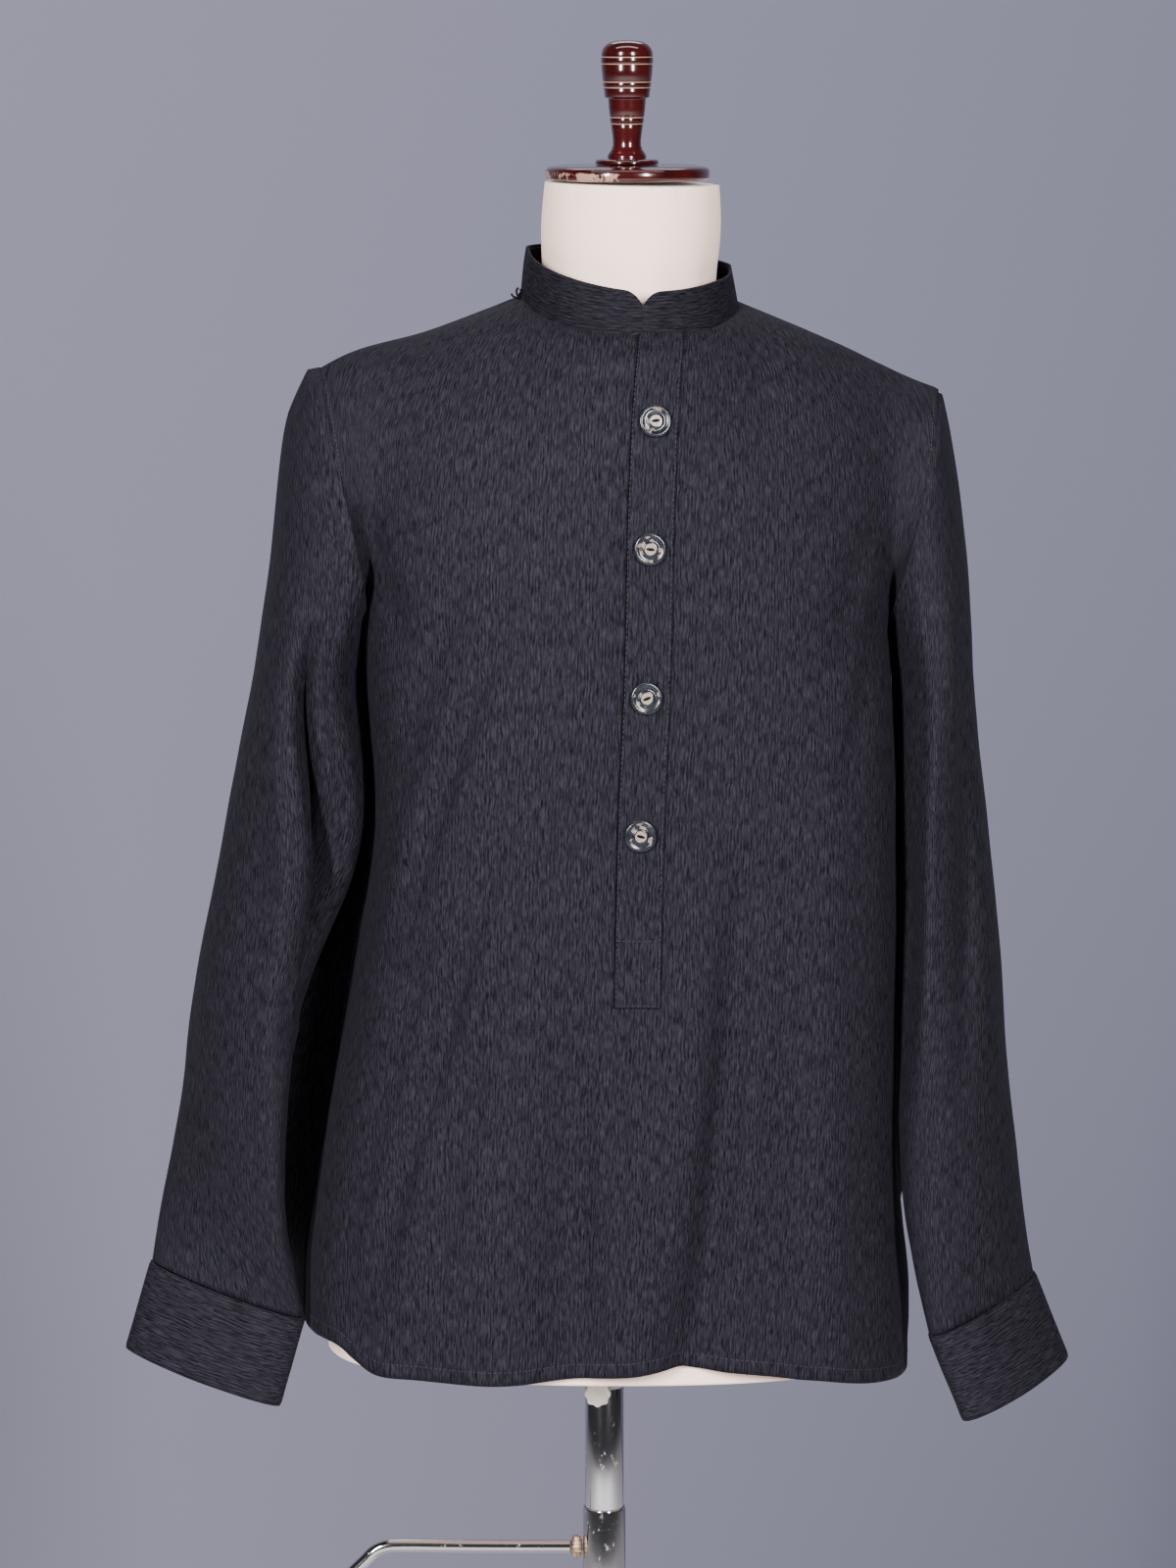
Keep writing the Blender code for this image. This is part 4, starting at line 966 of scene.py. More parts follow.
# %% Sleeve tables
SleeveRow = namedtuple("SleeveRow", "z x y wide thin turn tilt")
LEFT_SLEEVE = (
    SleeveRow(1240, -192.5, -6, 78, 32.5, 0, 0),
    SleeveRow(1185, -198.3, -12, 75, 39.8, 8, 0),
    SleeveRow(1130, -203.0, -18, 70, 41.5, 17, 0),
    SleeveRow(1060, -223.5, -25, 62, 33.5, 24, 2),
    SleeveRow(1000, -235.0, -31, 60, 26.3, 28, 4),
    SleeveRow(940, -242.0, -36, 57, 19.8, 35, 8),
    SleeveRow(890, -247.0, -40, 55, 15.5, 50, 14),
    SleeveRow(848, -244.5, -42, 53, 16.5, 74, 17.5),
)
RIGHT_SLEEVE = (
    SleeveRow(1240, 213.5, 4, 78, 23.5, 0, 0),
    SleeveRow(1177, 217.5, 0, 72, 26.3, 5, 0),
    SleeveRow(1110, 221.8, -6, 68, 28.8, 9, 0),
    SleeveRow(1049, 225.0, -12, 65, 30.5, 13, 2),
    SleeveRow(984, 226.8, -18, 61, 31.2, 20, 3),
    SleeveRow(930, 229.5, -23, 58, 31.0, 29, 7),
    SleeveRow(880, 236.5, -28, 56, 24.7, 36, 13),
    SleeveRow(836, 245.5, -32, 55, 17.0, 39, 18),
)
SleeveCut = namedtuple("SleeveCut", "rows side cuff_out cuff_down head_out head_lift")
SLEEVES = {
    "left": SleeveCut(LEFT_SLEEVE, -1, -17.0, -58.5, 10.0, 2.0),
    "right": SleeveCut(RIGHT_SLEEVE, 1, 23.0, -56.5, 0.5, -1.0),
}
SLEEVE_BULGE = 5.0      # how far the outer side rounds out between the shoulder and the elbow
UNDERARM_ARCH = 1.5
HEAD_TUCK = 1.8         # the head's first row tucks under the shoulder by this much
print({name: len(cut.rows) for name, cut in SLEEVES.items()}, "sections")

# %% Folds and creases of the sleeves
# bearing in degrees: 0 outer side, 90 front, 180 inner, 270 back
SleeveFold = namedtuple("SleeveFold", "top low bearing_top bearing_low width out")
SLEEVE_FOLDS = {
    "left": (
        SleeveFold(1310, 1085, 82, 106, 10, -25),
        SleeveFold(1200, 1020, 106, 126, 19, -31),
        SleeveFold(1120, 900, 138, 142, 34, -6),
        SleeveFold(1330, 900, 58, 74, 13, 6),
        SleeveFold(1265, 1085, 132, 140, 16, 6),
        SleeveFold(1360, 1100, 172, 168, 26, 5.5),
    ),
    "right": (
        SleeveFold(1330, 950, 100, 97, 13, 8),
        SleeveFold(1300, 940, 54, 54, 18, -12),
        SleeveFold(1190, 960, 128, 128, 14, -7),
        SleeveFold(1360, 930, 170, 168, 26, 4.5),
    ),
}
SleeveCrease = namedtuple("SleeveCrease", "b1 z1 b2 z2 width out")
SLEEVE_CREASES = {
    "left": (
        SleeveCrease(96, 1330, 118, 1205, 8, -2.2),
        SleeveCrease(70, 1290, 92, 1120, 9, 1.8),
        SleeveCrease(128, 1180, 118, 1060, 8, 1.8),
        SleeveCrease(104, 1050, 140, 960, 8, -1.8),
        SleeveCrease(60, 1075, 112, 1010, 9, -1.6),
        SleeveCrease(50, 1120, 100, 1085, 8, -1.1),
        SleeveCrease(96, 1000, 70, 900, 9, 1.4),
        SleeveCrease(30, 1020, 62, 930, 10, -1.3),
        SleeveCrease(120, 930, 88, 868, 7, -1.4),
        SleeveCrease(250, 1220, 290, 1050, 10, -2.2),
        SleeveCrease(300, 1150, 270, 960, 10, 1.8),
        SleeveCrease(240, 1040, 280, 930, 9, -1.9),
        SleeveCrease(330, 1060, 350, 930, 10, -1.2),
        SleeveCrease(10, 1340, 4, 1180, 11, -0.9),
    ),
    "right": (
        SleeveCrease(88, 1350, 100, 1180, 8, -2.0),
        SleeveCrease(66, 1300, 78, 1090, 9, 1.6),
        SleeveCrease(112, 1230, 108, 1000, 8, -1.6),
        SleeveCrease(60, 1060, 104, 1010, 9, -1.5),
        SleeveCrease(52, 1030, 92, 975, 8, 1.0),
        SleeveCrease(80, 980, 98, 880, 8, -1.5),
        SleeveCrease(40, 960, 60, 870, 9, -1.3),
        SleeveCrease(100, 900, 118, 850, 7, 1.1),
        SleeveCrease(250, 1230, 285, 1060, 10, -2.1),
        SleeveCrease(300, 1140, 268, 950, 10, 1.7),
        SleeveCrease(236, 1030, 276, 920, 9, -1.8),
        SleeveCrease(10, 1330, 2, 1170, 11, -0.9),
    ),
}
print({name: len(SLEEVE_FOLDS[name]) + len(SLEEVE_CREASES[name]) for name in SLEEVES}, "folds")


# %% Sleeve sections
def armhole_loop(side, count):
    halves = []
    for knots in (ARMHOLE_FRONT, ARMHOLE_BACK):
        halves.append(spread(rounded_line(knots), count // 2 + 1))
    loop = np.vstack((halves[0], halves[1][1:-1])) * np.array((side, 1.0, 1.0))
    high = np.clip((loop[:, 2] - 1380.0) / 56.0, 0.0, 1.0) ** 3
    loop[:, 2] += crown_at_tip(side) * high
    return posed(loop)


def sleeve_ring(row, side, bearings):
    turn = math.radians(row.turn)
    wide = np.sin(bearings)
    thin = np.cos(bearings)
    out = row.thin * thin * math.cos(turn) - row.wide * wide * math.sin(turn)
    ahead = row.wide * wide * math.cos(turn) + row.thin * thin * math.sin(turn)
    tilt = math.radians(row.tilt)
    return np.stack([row.x + side * out * math.cos(tilt), row.y - ahead,
                     row.z + out * math.sin(tilt)], axis=1)


# %% Rows down a sleeve
def head_rows(cut, bearings):
    """Rows from the armhole seam down to the table's first section."""
    loop = armhole_loop(cut.side, len(bearings))
    first = sleeve_ring(cut.rows[0], cut.side, bearings)
    inner = np.clip(-np.cos(bearings), 0.0, 1.0) ** 0.8
    outer = np.clip(np.cos(bearings), 0.0, 1.0)
    rows = []
    for s in np.concatenate(([0.0, 0.006, 0.016, 0.03], np.linspace(0.05, 1.0, 42))):
        row = loop + (first - loop) * s
        under = max(0.0, 1.0 - s / 0.016)
        row += (loop.mean(axis=0) - loop) * 0.022 * under
        row[:, 2] += cut.head_lift * outer**3 * math.exp(-((s - 0.03) / 0.10) ** 2)
        arch = UNDERARM_ARCH * min(s / 0.10, 1.0) * (1.0 - s)
        head = cut.head_out * math.exp(-((s - 0.20) / 0.20) ** 2) * (1.0 - under) * outer
        out = SLEEVE_BULGE * 4.0 * s * (1.0 - s) * outer + arch * inner + head + 0.4 - HEAD_TUCK * under
        row[:, 0] += cut.side * out
        rows.append(row)
    return rows


def sleeve_rows(cut, bearings):
    """All rows of a sleeve, eased into each other so no section of the table shows as a ring."""
    rows = head_rows(cut, bearings)
    for z in np.linspace(cut.rows[0].z, cut.rows[-1].z, 102)[1:]:
        rows.append(sleeve_ring(smooth_between(cut.rows, z), cut.side, bearings))
    points = np.array(rows)
    ease = np.clip((np.arange(len(rows)) - 8.0) / 14.0, 0.0, 1.0)[1:-1, None, None] * 0.5
    for _ in range(90):
        points[1:-1] += ((points[2:] + points[:-2]) / 2 - points[1:-1]) * ease
    return points


# %% Folds put on a sleeve
def round_gap(degrees, bearing):
    """The way round from a bearing to each column, between -180 and 180 degrees."""
    return (degrees[None, :] - bearing + 180.0) % 360.0 - 180.0


def fold_move(fold, points, degrees):
    t = np.clip((fold.top - points[..., 2]) / (fold.top - fold.low), 0.0, 1.0)
    bearing = fold.bearing_top + (fold.bearing_low - fold.bearing_top) * t
    gap = round_gap(degrees, bearing)
    return fold.out * np.sin(math.pi * t) ** 1.4 * np.exp(-((gap / fold.width) ** 2))


def crease_move(crease, points, degrees, radius):
    t = (crease.z1 - points[..., 2]) / (crease.z1 - crease.z2)
    held = np.clip(t, 0.0, 1.0)
    bearing = crease.b1 + (crease.b2 - crease.b1) * held
    off = np.radians(round_gap(degrees, bearing)) * radius
    past = (t - held) * (crease.z1 - crease.z2)
    fade = np.sin(math.pi * (0.1 + 0.8 * held)) ** 0.8
    return crease.out * fade * np.exp(-((off / crease.width) ** 2) - (past / 14.0) ** 2)


def sleeve_grid(name, around=144):
    """The sleeve's surface: its rows, moved in or out from their middles by the folds."""
    cut = SLEEVES[name]
    bearings = np.linspace(0.0, 2 * math.pi, around, endpoint=False)
    points = sleeve_rows(cut, bearings)
    degrees = np.degrees(bearings)
    away = points - points.mean(axis=1, keepdims=True)
    reach = np.linalg.norm(away, axis=2)
    radius = reach.mean(axis=1)[:, None]
    move = slow_swell(points, 40.0, 0.9, cut.side * 3.0)
    for fold in SLEEVE_FOLDS[name]:
        move += fold_move(fold, points, degrees)
    for crease in SLEEVE_CREASES[name]:
        move += crease_move(crease, points, degrees, radius)
    share = np.arange(len(points)) / (len(points) - 1)
    hold = np.clip(share * 16.0, 0.0, 1.0) * np.clip((1.0 - share) * 24.0, 0.0, 1.0)
    return points + away / reach[..., None] * (move * hold[:, None])[..., None]


# %% The cloth's flat places round a tube
def tube_flat(points):
    """Flat places round a tube: across by the mean girth of its rows, up by their mean steps."""
    around = points.shape[1]
    ring = np.concatenate((points, points[:, :1]), axis=1)
    girth = np.linalg.norm(np.diff(ring, axis=1), axis=2).sum(axis=1)
    share = np.linspace(-0.5, 0.5, around + 1)
    across = np.broadcast_to(share[None, :] * girth.mean(), (len(points), around + 1))
    steps = np.linalg.norm(np.diff(points, axis=0), axis=2).mean(axis=1)
    up = -np.concatenate(([0.0], np.cumsum(steps)))
    up = np.broadcast_to(up[:, None], across.shape)
    flat = np.stack([across, up], axis=2)
    return ring, flat, girth


def hanging_flat(points, cut):
    """A sleeve's flat places: the grain hangs straight down, even where the head's columns slant."""
    ring, flat, girth = tube_flat(points)
    column = np.linspace(0.0, 2 * math.pi, ring.shape[1])[None, :]
    first = cut.rows[0]
    ahead = first.y - ring[..., 1]
    real = np.arctan2(ahead / first.wide, cut.side * (ring[..., 0] - first.x) / first.thin)
    real += 2 * math.pi * np.round((column - real) / (2 * math.pi))
    share = np.clip((np.abs(ahead) - 12.0) / 25.0, 0.0, 1.0)
    share = share * np.clip((ring[..., 2] - 1235.0) / 30.0, 0.0, 1.0)
    flat[..., 0] += (real - column) * share * girth.mean() / (2 * math.pi)
    flat[..., 1] = ring[..., 2]
    return flat


def tube(name, points, side, thickness, hanging=None):
    ring, flat, girth = tube_flat(points)
    if hanging:
        flat = hanging_flat(points, hanging)
    if side > 0:
        ring = ring[:, ::-1]
        flat = flat[:, ::-1]
    return thicken(cloth_sheet(name, ring, flat, closed=True), thickness), girth


# %% Sleeves
sleeve_points = {}
for name, cut in SLEEVES.items():
    sleeve_points[name] = sleeve_grid(name)
    piece, girth = tube("kurta_%s_sleeve" % name, sleeve_points[name], cut.side, CLOTH, cut)
    ready(piece, crepe, ["%s_sleeve" % name])
    print(name, "sleeve girth from", girth.max().round(), "to", girth[-1].round(), "mm")

# %% [markdown]
# ### Cuffs
# A cuff is a straight doubled band sewn round the sleeve's end, so it is the sleeve's last section
# drawn out along the way the cuff points. Its two edges are rolled in a little, as a pressed fold
# is, and the grain runs round it.

# %% Cuffs
CUFF_ROWS = 25
CUFF_OVER = 0.6         # a cuff is this much fuller than the sleeve's end
CUFF_SEAM = 0.8
ROLL_IN = 0.5
ROLL_WIDE = 1.8


def cuff_grid(cut):
    bearings = np.linspace(0.0, 2 * math.pi, 120, endpoint=False)
    last = cut.rows[-1]
    fuller = last._replace(wide=last.wide + CUFF_OVER, thin=last.thin + CUFF_OVER)
    top = sleeve_ring(fuller, cut.side, bearings)
    way = np.array((cut.cuff_out, -3.0, cut.cuff_down))
    way /= np.linalg.norm(way)
    shares = np.linspace(0.0, 1.0, CUFF_ROWS)
    points = np.array([top + way * (CUFF_SEAM + CUFF_HEIGHT * t) for t in shares])
    away = points - points.mean(axis=1, keepdims=True)
    away /= np.linalg.norm(away, axis=2, keepdims=True)
    edge = np.minimum(shares, shares[::-1]) * CUFF_HEIGHT
    round_in = ROLL_IN * np.clip(1.0 - edge / ROLL_WIDE, 0.0, 1.0)
    swell = slow_swell(points, 30.0, 0.7, cut.side * 5.0)
    return points + away * (swell - round_in[:, None])[..., None]


cuff_points = {}
for name, cut in SLEEVES.items():
    cuff_points[name] = cuff_grid(cut)
    piece, girth = tube("kurta_%s_cuff" % name, cuff_points[name], cut.side, DOUBLED)
    ready(piece, crepe_cuff, ["%s_cuff" % name])
    print(name, "cuff", girth.max().round(), "mm round")

# %% [markdown]
# ## Band collar
# The collar is a doubled band that stands on the neckline and meets at the front with rounded
# ends. It could be a strip bent by a modifier, but its height and lean differ all the way round,
# so it is lofted from the neckline itself, with a table of heights by bearing.

# %% Band collar
CollarRow = namedtuple("CollarRow", "bearing height lean")
COLLAR_ROWS = (
    CollarRow(0, 24, 3.0), CollarRow(45, 28.5, 3.5), CollarRow(90, 28.5, 3.5),
    CollarRow(180, 25, 3.0), CollarRow(270, 20, 5.0), CollarRow(315, 25.5, 4.5),
    CollarRow(360, 24, 3.0),
)
COLLAR_END_ROUND = 12.0
COLLAR_END_DROP = 14.0
COLLAR_END_GAP = 0.2
COLLAR_OVER = 1.3       # its foot stands this far outside the neckline
COLLAR_LOW = 4.2        # and this far under it
front_neck = neckline(True)
back_neck = neckline(False)
half = DENSE // 2
neck_seam = np.vstack((front_neck[:half + 1][::-1], back_neck[1:], front_neck[half:-1][::-1]))
total = length_along(neck_seam)[-1]
near_end = COLLAR_END_ROUND * (1.0 - np.cos(np.linspace(0.0, math.pi / 2, 14)))
distances = np.concatenate((COLLAR_END_GAP + near_end, np.linspace(16.0, total - 16.0, 170),
                            (total - COLLAR_END_GAP - near_end)[::-1]))
foot = at_distances(neck_seam, distances)
print("neck seam", total.round(), "mm")


# %% The collar's grid
def collar_row(share):
    """A row of the collar: share 0 is its foot, 1 its top edge."""
    row = foot.copy()
    for index, distance in enumerate(distances):
        spec = smooth_between(COLLAR_ROWS, 360.0 * distance / total)
        end = min(distance, total - distance)
        curve = max(0.0, 1.0 - end / COLLAR_END_ROUND)
        height = spec.height - COLLAR_END_DROP * (1.0 - math.sqrt(max(0.0, 1.0 - curve**2)))
        inward = np.array((-foot[index, 0], -foot[index, 1], 0.0))
        inward /= np.linalg.norm(inward)
        row[index] += inward * (spec.lean * share - COLLAR_OVER)
        row[index, 2] += COLLAR_GAP - COLLAR_LOW + (height + COLLAR_LOW) * share
    return row


collar_points = posed(np.array([collar_row(share) for share in np.linspace(0.0, 1.0, 15)]))
ahead = np.clip(-collar_points[..., 1] / 75.0, 0.0, 1.0)
collar_points[..., 0] += (slit_x(1472.0) - posed(NECK_FRONT)[0]) * ahead**3
collar_normal = surface_normals(collar_points)
collar_points += collar_normal * slow_swell(collar_points, 22.0, 0.7, 2.0)[..., None]
across = np.broadcast_to(distances[None, :], collar_points.shape[:2])
collar = cloth_sheet("kurta_collar", collar_points, flat_places(collar_points, across))
thicken(collar, DOUBLED)
ready(collar, crepe_collar, ["band_collar"])
print("collar", collar_points.shape)

# %% [markdown]
# ## Placket
# The placket is a doubled strip sewn over the slit, so it must follow every swell of the front.
# It is laid on the front's own fine grid, at distances from the slit, and lifted off it by its
# thickness. Its edges are rolled down, its seams dip, and it puckers a little between stitches.

# %% Places on the front
def on_front(x_from_middle, level_index, lift):
    """Points on the front's fine surface at distances from its middle line, moved out."""
    row = front_points[level_index]
    normal = front_normal[level_index]
    across = front_across[level_index]
    place = np.stack([np.interp(x_from_middle, across, row[:, axis]) for axis in range(3)], axis=1)
    face = np.stack([np.interp(x_from_middle, across, normal[:, axis]) for axis in range(3)], axis=1)
    return place + face / np.linalg.norm(face, axis=1)[:, None] * np.reshape(lift, (-1, 1))


def placket_row_index(z):
    heights = front_points[:, SIDE_STEPS, 2]
    return np.interp(z, heights, np.arange(len(heights)))


def blended_front(spot, x, lift):
    low = int(spot)
    high = min(low + 1, len(front_points) - 1)
    first = on_front(x, low, lift)
    return first + (on_front(x, high, lift) - first) * (spot - low)


# %% Placket
LIFT = 0.35             # what lies on the cloth is held this far off it
placket_x = np.concatenate(([0.0, 0.25, 0.7], np.linspace(1.6, PLACKET_WIDTH - 1.6, 18),
                            [PLACKET_WIDTH - 0.7, PLACKET_WIDTH - 0.25, PLACKET_WIDTH])) - PLACKET_LAP
edge_x = np.minimum(placket_x - placket_x[0], placket_x[-1] - placket_x)
crown = -0.55 * np.clip(1.0 - edge_x / 0.7, 0.0, 1.0) ** 2
stitch_dip = -0.16 * np.exp(-(((edge_x - 1.5) / 0.7) ** 2))
placket_start = placket_row_index(PLACKET_END_Z)
placket_stop = len(front_points) - 2.0
placket_spots = np.concatenate(([0.0, 0.1, 0.3], np.linspace(0.6, placket_stop - placket_start, 130)))
rows = []
for step, more in enumerate(placket_spots):
    end_round = -0.55 * max(0.0, 1.0 - more / 0.3) ** 2
    pucker = 0.12 * math.sin(step * 0.83) + 0.08 * math.sin(step * 0.37 + 1.0)
    lift = LIFT + PLACKET_THICK + crown + stitch_dip + end_round
    lift = lift + pucker * np.clip(1.0 - edge_x / 5.0, 0.0, 1.0) * (edge_x > 0.5)
    rows.append(blended_front(placket_start + more, placket_x, lift))
placket_points = np.array(rows)
across = np.broadcast_to(placket_x[None, :] + 3.0, placket_points.shape[:2])
placket = cloth_sheet("kurta_placket", placket_points, flat_places(placket_points, across))
thicken(placket, PLACKET_THICK - 0.5)
ready(placket, crepe_placket, ["placket"])
print("placket from z", placket_points[..., 2].min().round(1), "to", placket_points[..., 2].max().round(1))

# %% [markdown]
# ## Buttons
# Buttons, the wooden finial and cap, and the tubes are all round, so each is a profile that is
# spun about its axis. The spin operator closes the turn, and the poles are merged. A button has a
# rounded rim, a hollow ring and a low boss, and sits square on the placket under it. Its marbling
# is read from the button's own middle, so it stays with the button.

# %% Spin a profile
def spun(name, profile, steps, at=(0.0, 0.0, 0.0), tilt=None):
    """profile: (radius, height) in millimetres from the foot's middle to the top's middle."""
    shape = bmesh.new()
    verts = [shape.verts.new((radius * MM, 0.0, height * MM)) for radius, height in profile]
    edges = [shape.edges.new(pair) for pair in zip(verts, verts[1:])]
    bmesh.ops.spin(shape, geom=verts + edges, cent=(0, 0, 0), axis=(0, 0, 1), dvec=(0, 0, 0),
                   angle=2 * math.pi, steps=steps, use_merge=True)
    bmesh.ops.remove_doubles(shape, verts=shape.verts, dist=1e-6)
    bmesh.ops.recalc_face_normals(shape, faces=shape.faces)
    if tilt is not None:
        bmesh.ops.rotate(shape, verts=shape.verts, cent=(0, 0, 0), matrix=tilt)
    bmesh.ops.translate(shape, verts=shape.verts, vec=Vector(at) * MM)
    return piece_from(shape, name)


def soften(piece, width, segments=2, angle=35.0):
    edge = piece.modifiers.new("soft edges", "BEVEL")
    edge.width = width * MM
    edge.segments = segments
    edge.limit_method = "ANGLE"
    edge.angle_limit = math.radians(angle)
    edge.harden_normals = False
    return piece


# %% Button material
def button_material(centre, axes):
    """Dark marbled rim, chips of pinkish cream, and a cream boss in the middle."""
    made, tree, shader = new_material("marbled button", 0.22)
    where = object_place(tree)
    moved = add(tree, "ShaderNodeVectorMath", operation="SUBTRACT", i0=where, i1=tuple(centre)).outputs[0]
    x, y = [add(tree, "ShaderNodeVectorMath", operation="DOT_PRODUCT", i0=moved, i1=axis).outputs["Value"]
            for axis in axes]
    radius = hypotenuse(tree, x, y)
    chips = add(tree, "ShaderNodeTexVoronoi", feature="F1", i0=where)
    chips.inputs["Scale"].default_value = 380.0
    chips.inputs["Randomness"].default_value = 1.0
    pick = add(tree, "ShaderNodeSeparateColor", i0=chips.outputs["Color"])
    wobble = noise_at(tree, where, 900.0, 2.0)
    edge_in = plus(tree, 0.0030, times(tree, wobble, 0.0012))
    ring = times(tree, calc(tree, "GREATER_THAN", radius, 0.0050), calc(tree, "LESS_THAN", radius, 0.0084))
    chip = times(tree, calc(tree, "GREATER_THAN", pick.outputs[0], 0.78), ring)
    boss = calc(tree, "LESS_THAN", radius, edge_in)
    clouds = noise_at(tree, where, 500.0, 4.0, 0.65, distort=1.5)
    navy = blend(tree, between(tree, 0.35, 0.7, clouds), (0.0015, 0.002, 0.004), (0.012, 0.016, 0.026))
    cream = blend(tree, wobble, (0.15, 0.092, 0.080), (0.24, 0.175, 0.150))
    colour = blend(tree, chip, navy, cream)
    colour = blend(tree, boss, colour, blend(tree, clouds, (0.20, 0.150, 0.125), (0.33, 0.27, 0.23)))
    put(shader.inputs["Base Color"], colour)
    put(shader.inputs["Roughness"], calc(tree, "MULTIPLY_ADD", clouds, 0.2, 0.14))
    shader.inputs["Coat Weight"].default_value = 0.05
    shader.inputs["Coat Roughness"].default_value = 0.15
    bump(tree, shader, clouds, 0.00008, 0.5)
    return made


# %% Buttons
BUTTON_HEIGHTS = (1416.8, 1338.7, 1245.8, 1159.1)
BUTTON_INSET = 14.5
BUTTON_SHAPE = (
    (0.0, 0.0), (8.3, 0.0), (9.4, 0.25), (10.1, 0.9), (10.3, 1.6), (10.1, 2.2), (9.5, 2.65),
    (8.8, 2.85), (8.1, 2.7), (7.4, 2.35), (6.4, 2.15), (5.6, 2.1), (5.1, 2.35), (4.7, 2.75),
    (4.0, 2.95), (3.0, 3.0), (1.5, 2.9), (0.0, 2.85),
)
BUTTON_TURNS = (8, -6, 22, -14)
thread_dark = mottled("dark thread", (0.0012, 0.0012, 0.0018), (0.006, 0.006, 0.008), 2400.0, roughness=0.8)
thread_dark.node_tree.nodes["Principled BSDF"].inputs["Specular IOR Level"].default_value = 0.1


def button_seat(z):
    """Where a button sits, and the placket's right, up and outward there."""
    spot = placket_row_index(z)
    x = BUTTON_INSET - PLACKET_LAP
    top = LIFT + PLACKET_THICK
    seat = blended_front(spot, np.array([x]), top + 0.15)[0]
    above = blended_front(spot + 1.5, np.array([x]), top)[0]
    below = blended_front(spot - 1.5, np.array([x]), top)[0]
    beside = blended_front(spot, np.array([x - 5.0, x + 5.0]), top)
    up = Vector(above - below).normalized()
    right = Vector(beside[1] - beside[0]).normalized()
    out = right.cross(up).normalized()
    return seat, right, out.cross(right), out


def button_thread(number, seat, tilt, out):
    """The sewing thread lies in a short slot across the boss."""
    shape = bmesh.new()
    bmesh.ops.create_uvsphere(shape, u_segments=16, v_segments=8, radius=1.0)
    bmesh.ops.scale(shape, vec=(2.8 * MM, 1.0 * MM, 0.55 * MM), verts=shape.verts)
    bmesh.ops.rotate(shape, verts=shape.verts, cent=(0, 0, 0), matrix=tilt)
    bmesh.ops.translate(shape, verts=shape.verts, vec=(Vector(seat) + out * 2.95) * MM)
    ready(piece_from(shape, "button_thread_%d" % number), thread_dark, [])


for number, (z, degrees) in enumerate(zip(BUTTON_HEIGHTS, BUTTON_TURNS), 1):
    seat, right, up, out = button_seat(z)
    turn = math.radians(degrees)
    slant = right * math.cos(turn) + up * math.sin(turn)
    upright = out.cross(slant)
    tilt = Matrix([list(row) for row in np.array((slant, upright, out)).T])
    button = spun("kurta_button_%d" % number, BUTTON_SHAPE, 64, at=tuple(seat), tilt=tilt)
    look = button_material(seat * MM, (tuple(slant), tuple(upright)))
    ready(button, look, ["button_%d" % number])
    button_thread(number, seat, tilt, out)
print("buttons", len(BUTTON_HEIGHTS))

# %% [markdown]
# ## Stitching
# Topstitching is a line of short raised stitches with a small gap between them. Each stitch is a
# low six-sided bead; a whole line of them is one mesh. The lines follow rows or columns of the
# cloth's own grids, so they lie on it everywhere.

# %% Lines of stitches
def unit_stitch():
    shape = bmesh.new()
    bmesh.ops.create_uvsphere(shape, u_segments=5, v_segments=4, radius=1.0)
    bmesh.ops.rotate(shape, verts=shape.verts, cent=(0, 0, 0), matrix=Matrix.Rotation(math.pi / 2, 3, "Y"))
    mesh = bpy.data.meshes.new("stitch")
    shape.to_mesh(mesh)
    shape.free()
    return mesh


STITCH = unit_stitch()


def stitch_line(name, paths, material, length=2.2, gap=1.1, thick=0.24):
    """paths: lists of (points, normals) in millimetres."""
    shape = bmesh.new()
    count = 0
    for points, normals in paths:
        along = length_along(points)
        steps = int(along[-1] / (length + gap))
        for step in range(steps):
            start = (step + 0.15) * (length + gap)
            first = at_distances(points, np.array([start, start + length]))
            middle = Vector(first.mean(axis=0))
            way = Vector(first[1] - first[0]).normalized()
            face = [np.interp(start + length / 2, along, normals[:, axis]) for axis in range(3)]
            out = Vector(face).normalized()
            side = out.cross(way).normalized()
            out = way.cross(side)
            placed = Matrix((way * length / 2 * MM, side * thick * MM, out * thick * 0.8 * MM)).transposed()
            before = len(shape.verts)
            shape.from_mesh(STITCH)
            shape.verts.ensure_lookup_table()
            fresh = shape.verts[before:]
            bmesh.ops.transform(shape, verts=fresh, matrix=placed.to_4x4())
            bmesh.ops.translate(shape, verts=fresh, vec=(middle + out * thick * 0.25) * MM)
            count += 1
    piece = ready(piece_from(shape, name), material, [])
    print(name, count, "stitches")
    return piece


# %% Paths for stitches on a grid
def inset_path(points, normal, edge_index, inset, start=0, stop=None):
    """A line at a fixed distance from the left (0) or right (-1) edge of a grid."""
    path = []
    faces = []
    for row, face in zip(points[start:stop], normal[start:stop]):
        line = row if edge_index == 0 else row[::-1]
        turned = face if edge_index == 0 else face[::-1]
        along = length_along(line)
        path.append([np.interp(inset, along, line[:, axis]) for axis in range(3)])
        faces.append([np.interp(inset, along, turned[:, axis]) for axis in range(3)])
    return np.array(path), np.array(faces)


def row_path(points, normal, inset):
    """A line at a fixed distance above the first row of a grid."""
    path = []
    faces = []
    for column in range(points.shape[1]):
        line = points[:, column]
        along = length_along(line)
        path.append([np.interp(inset, along, line[:, axis]) for axis in range(3)])
        faces.append([np.interp(inset, along, normal[:, column, axis]) for axis in range(3)])
    return np.array(path), np.array(faces)


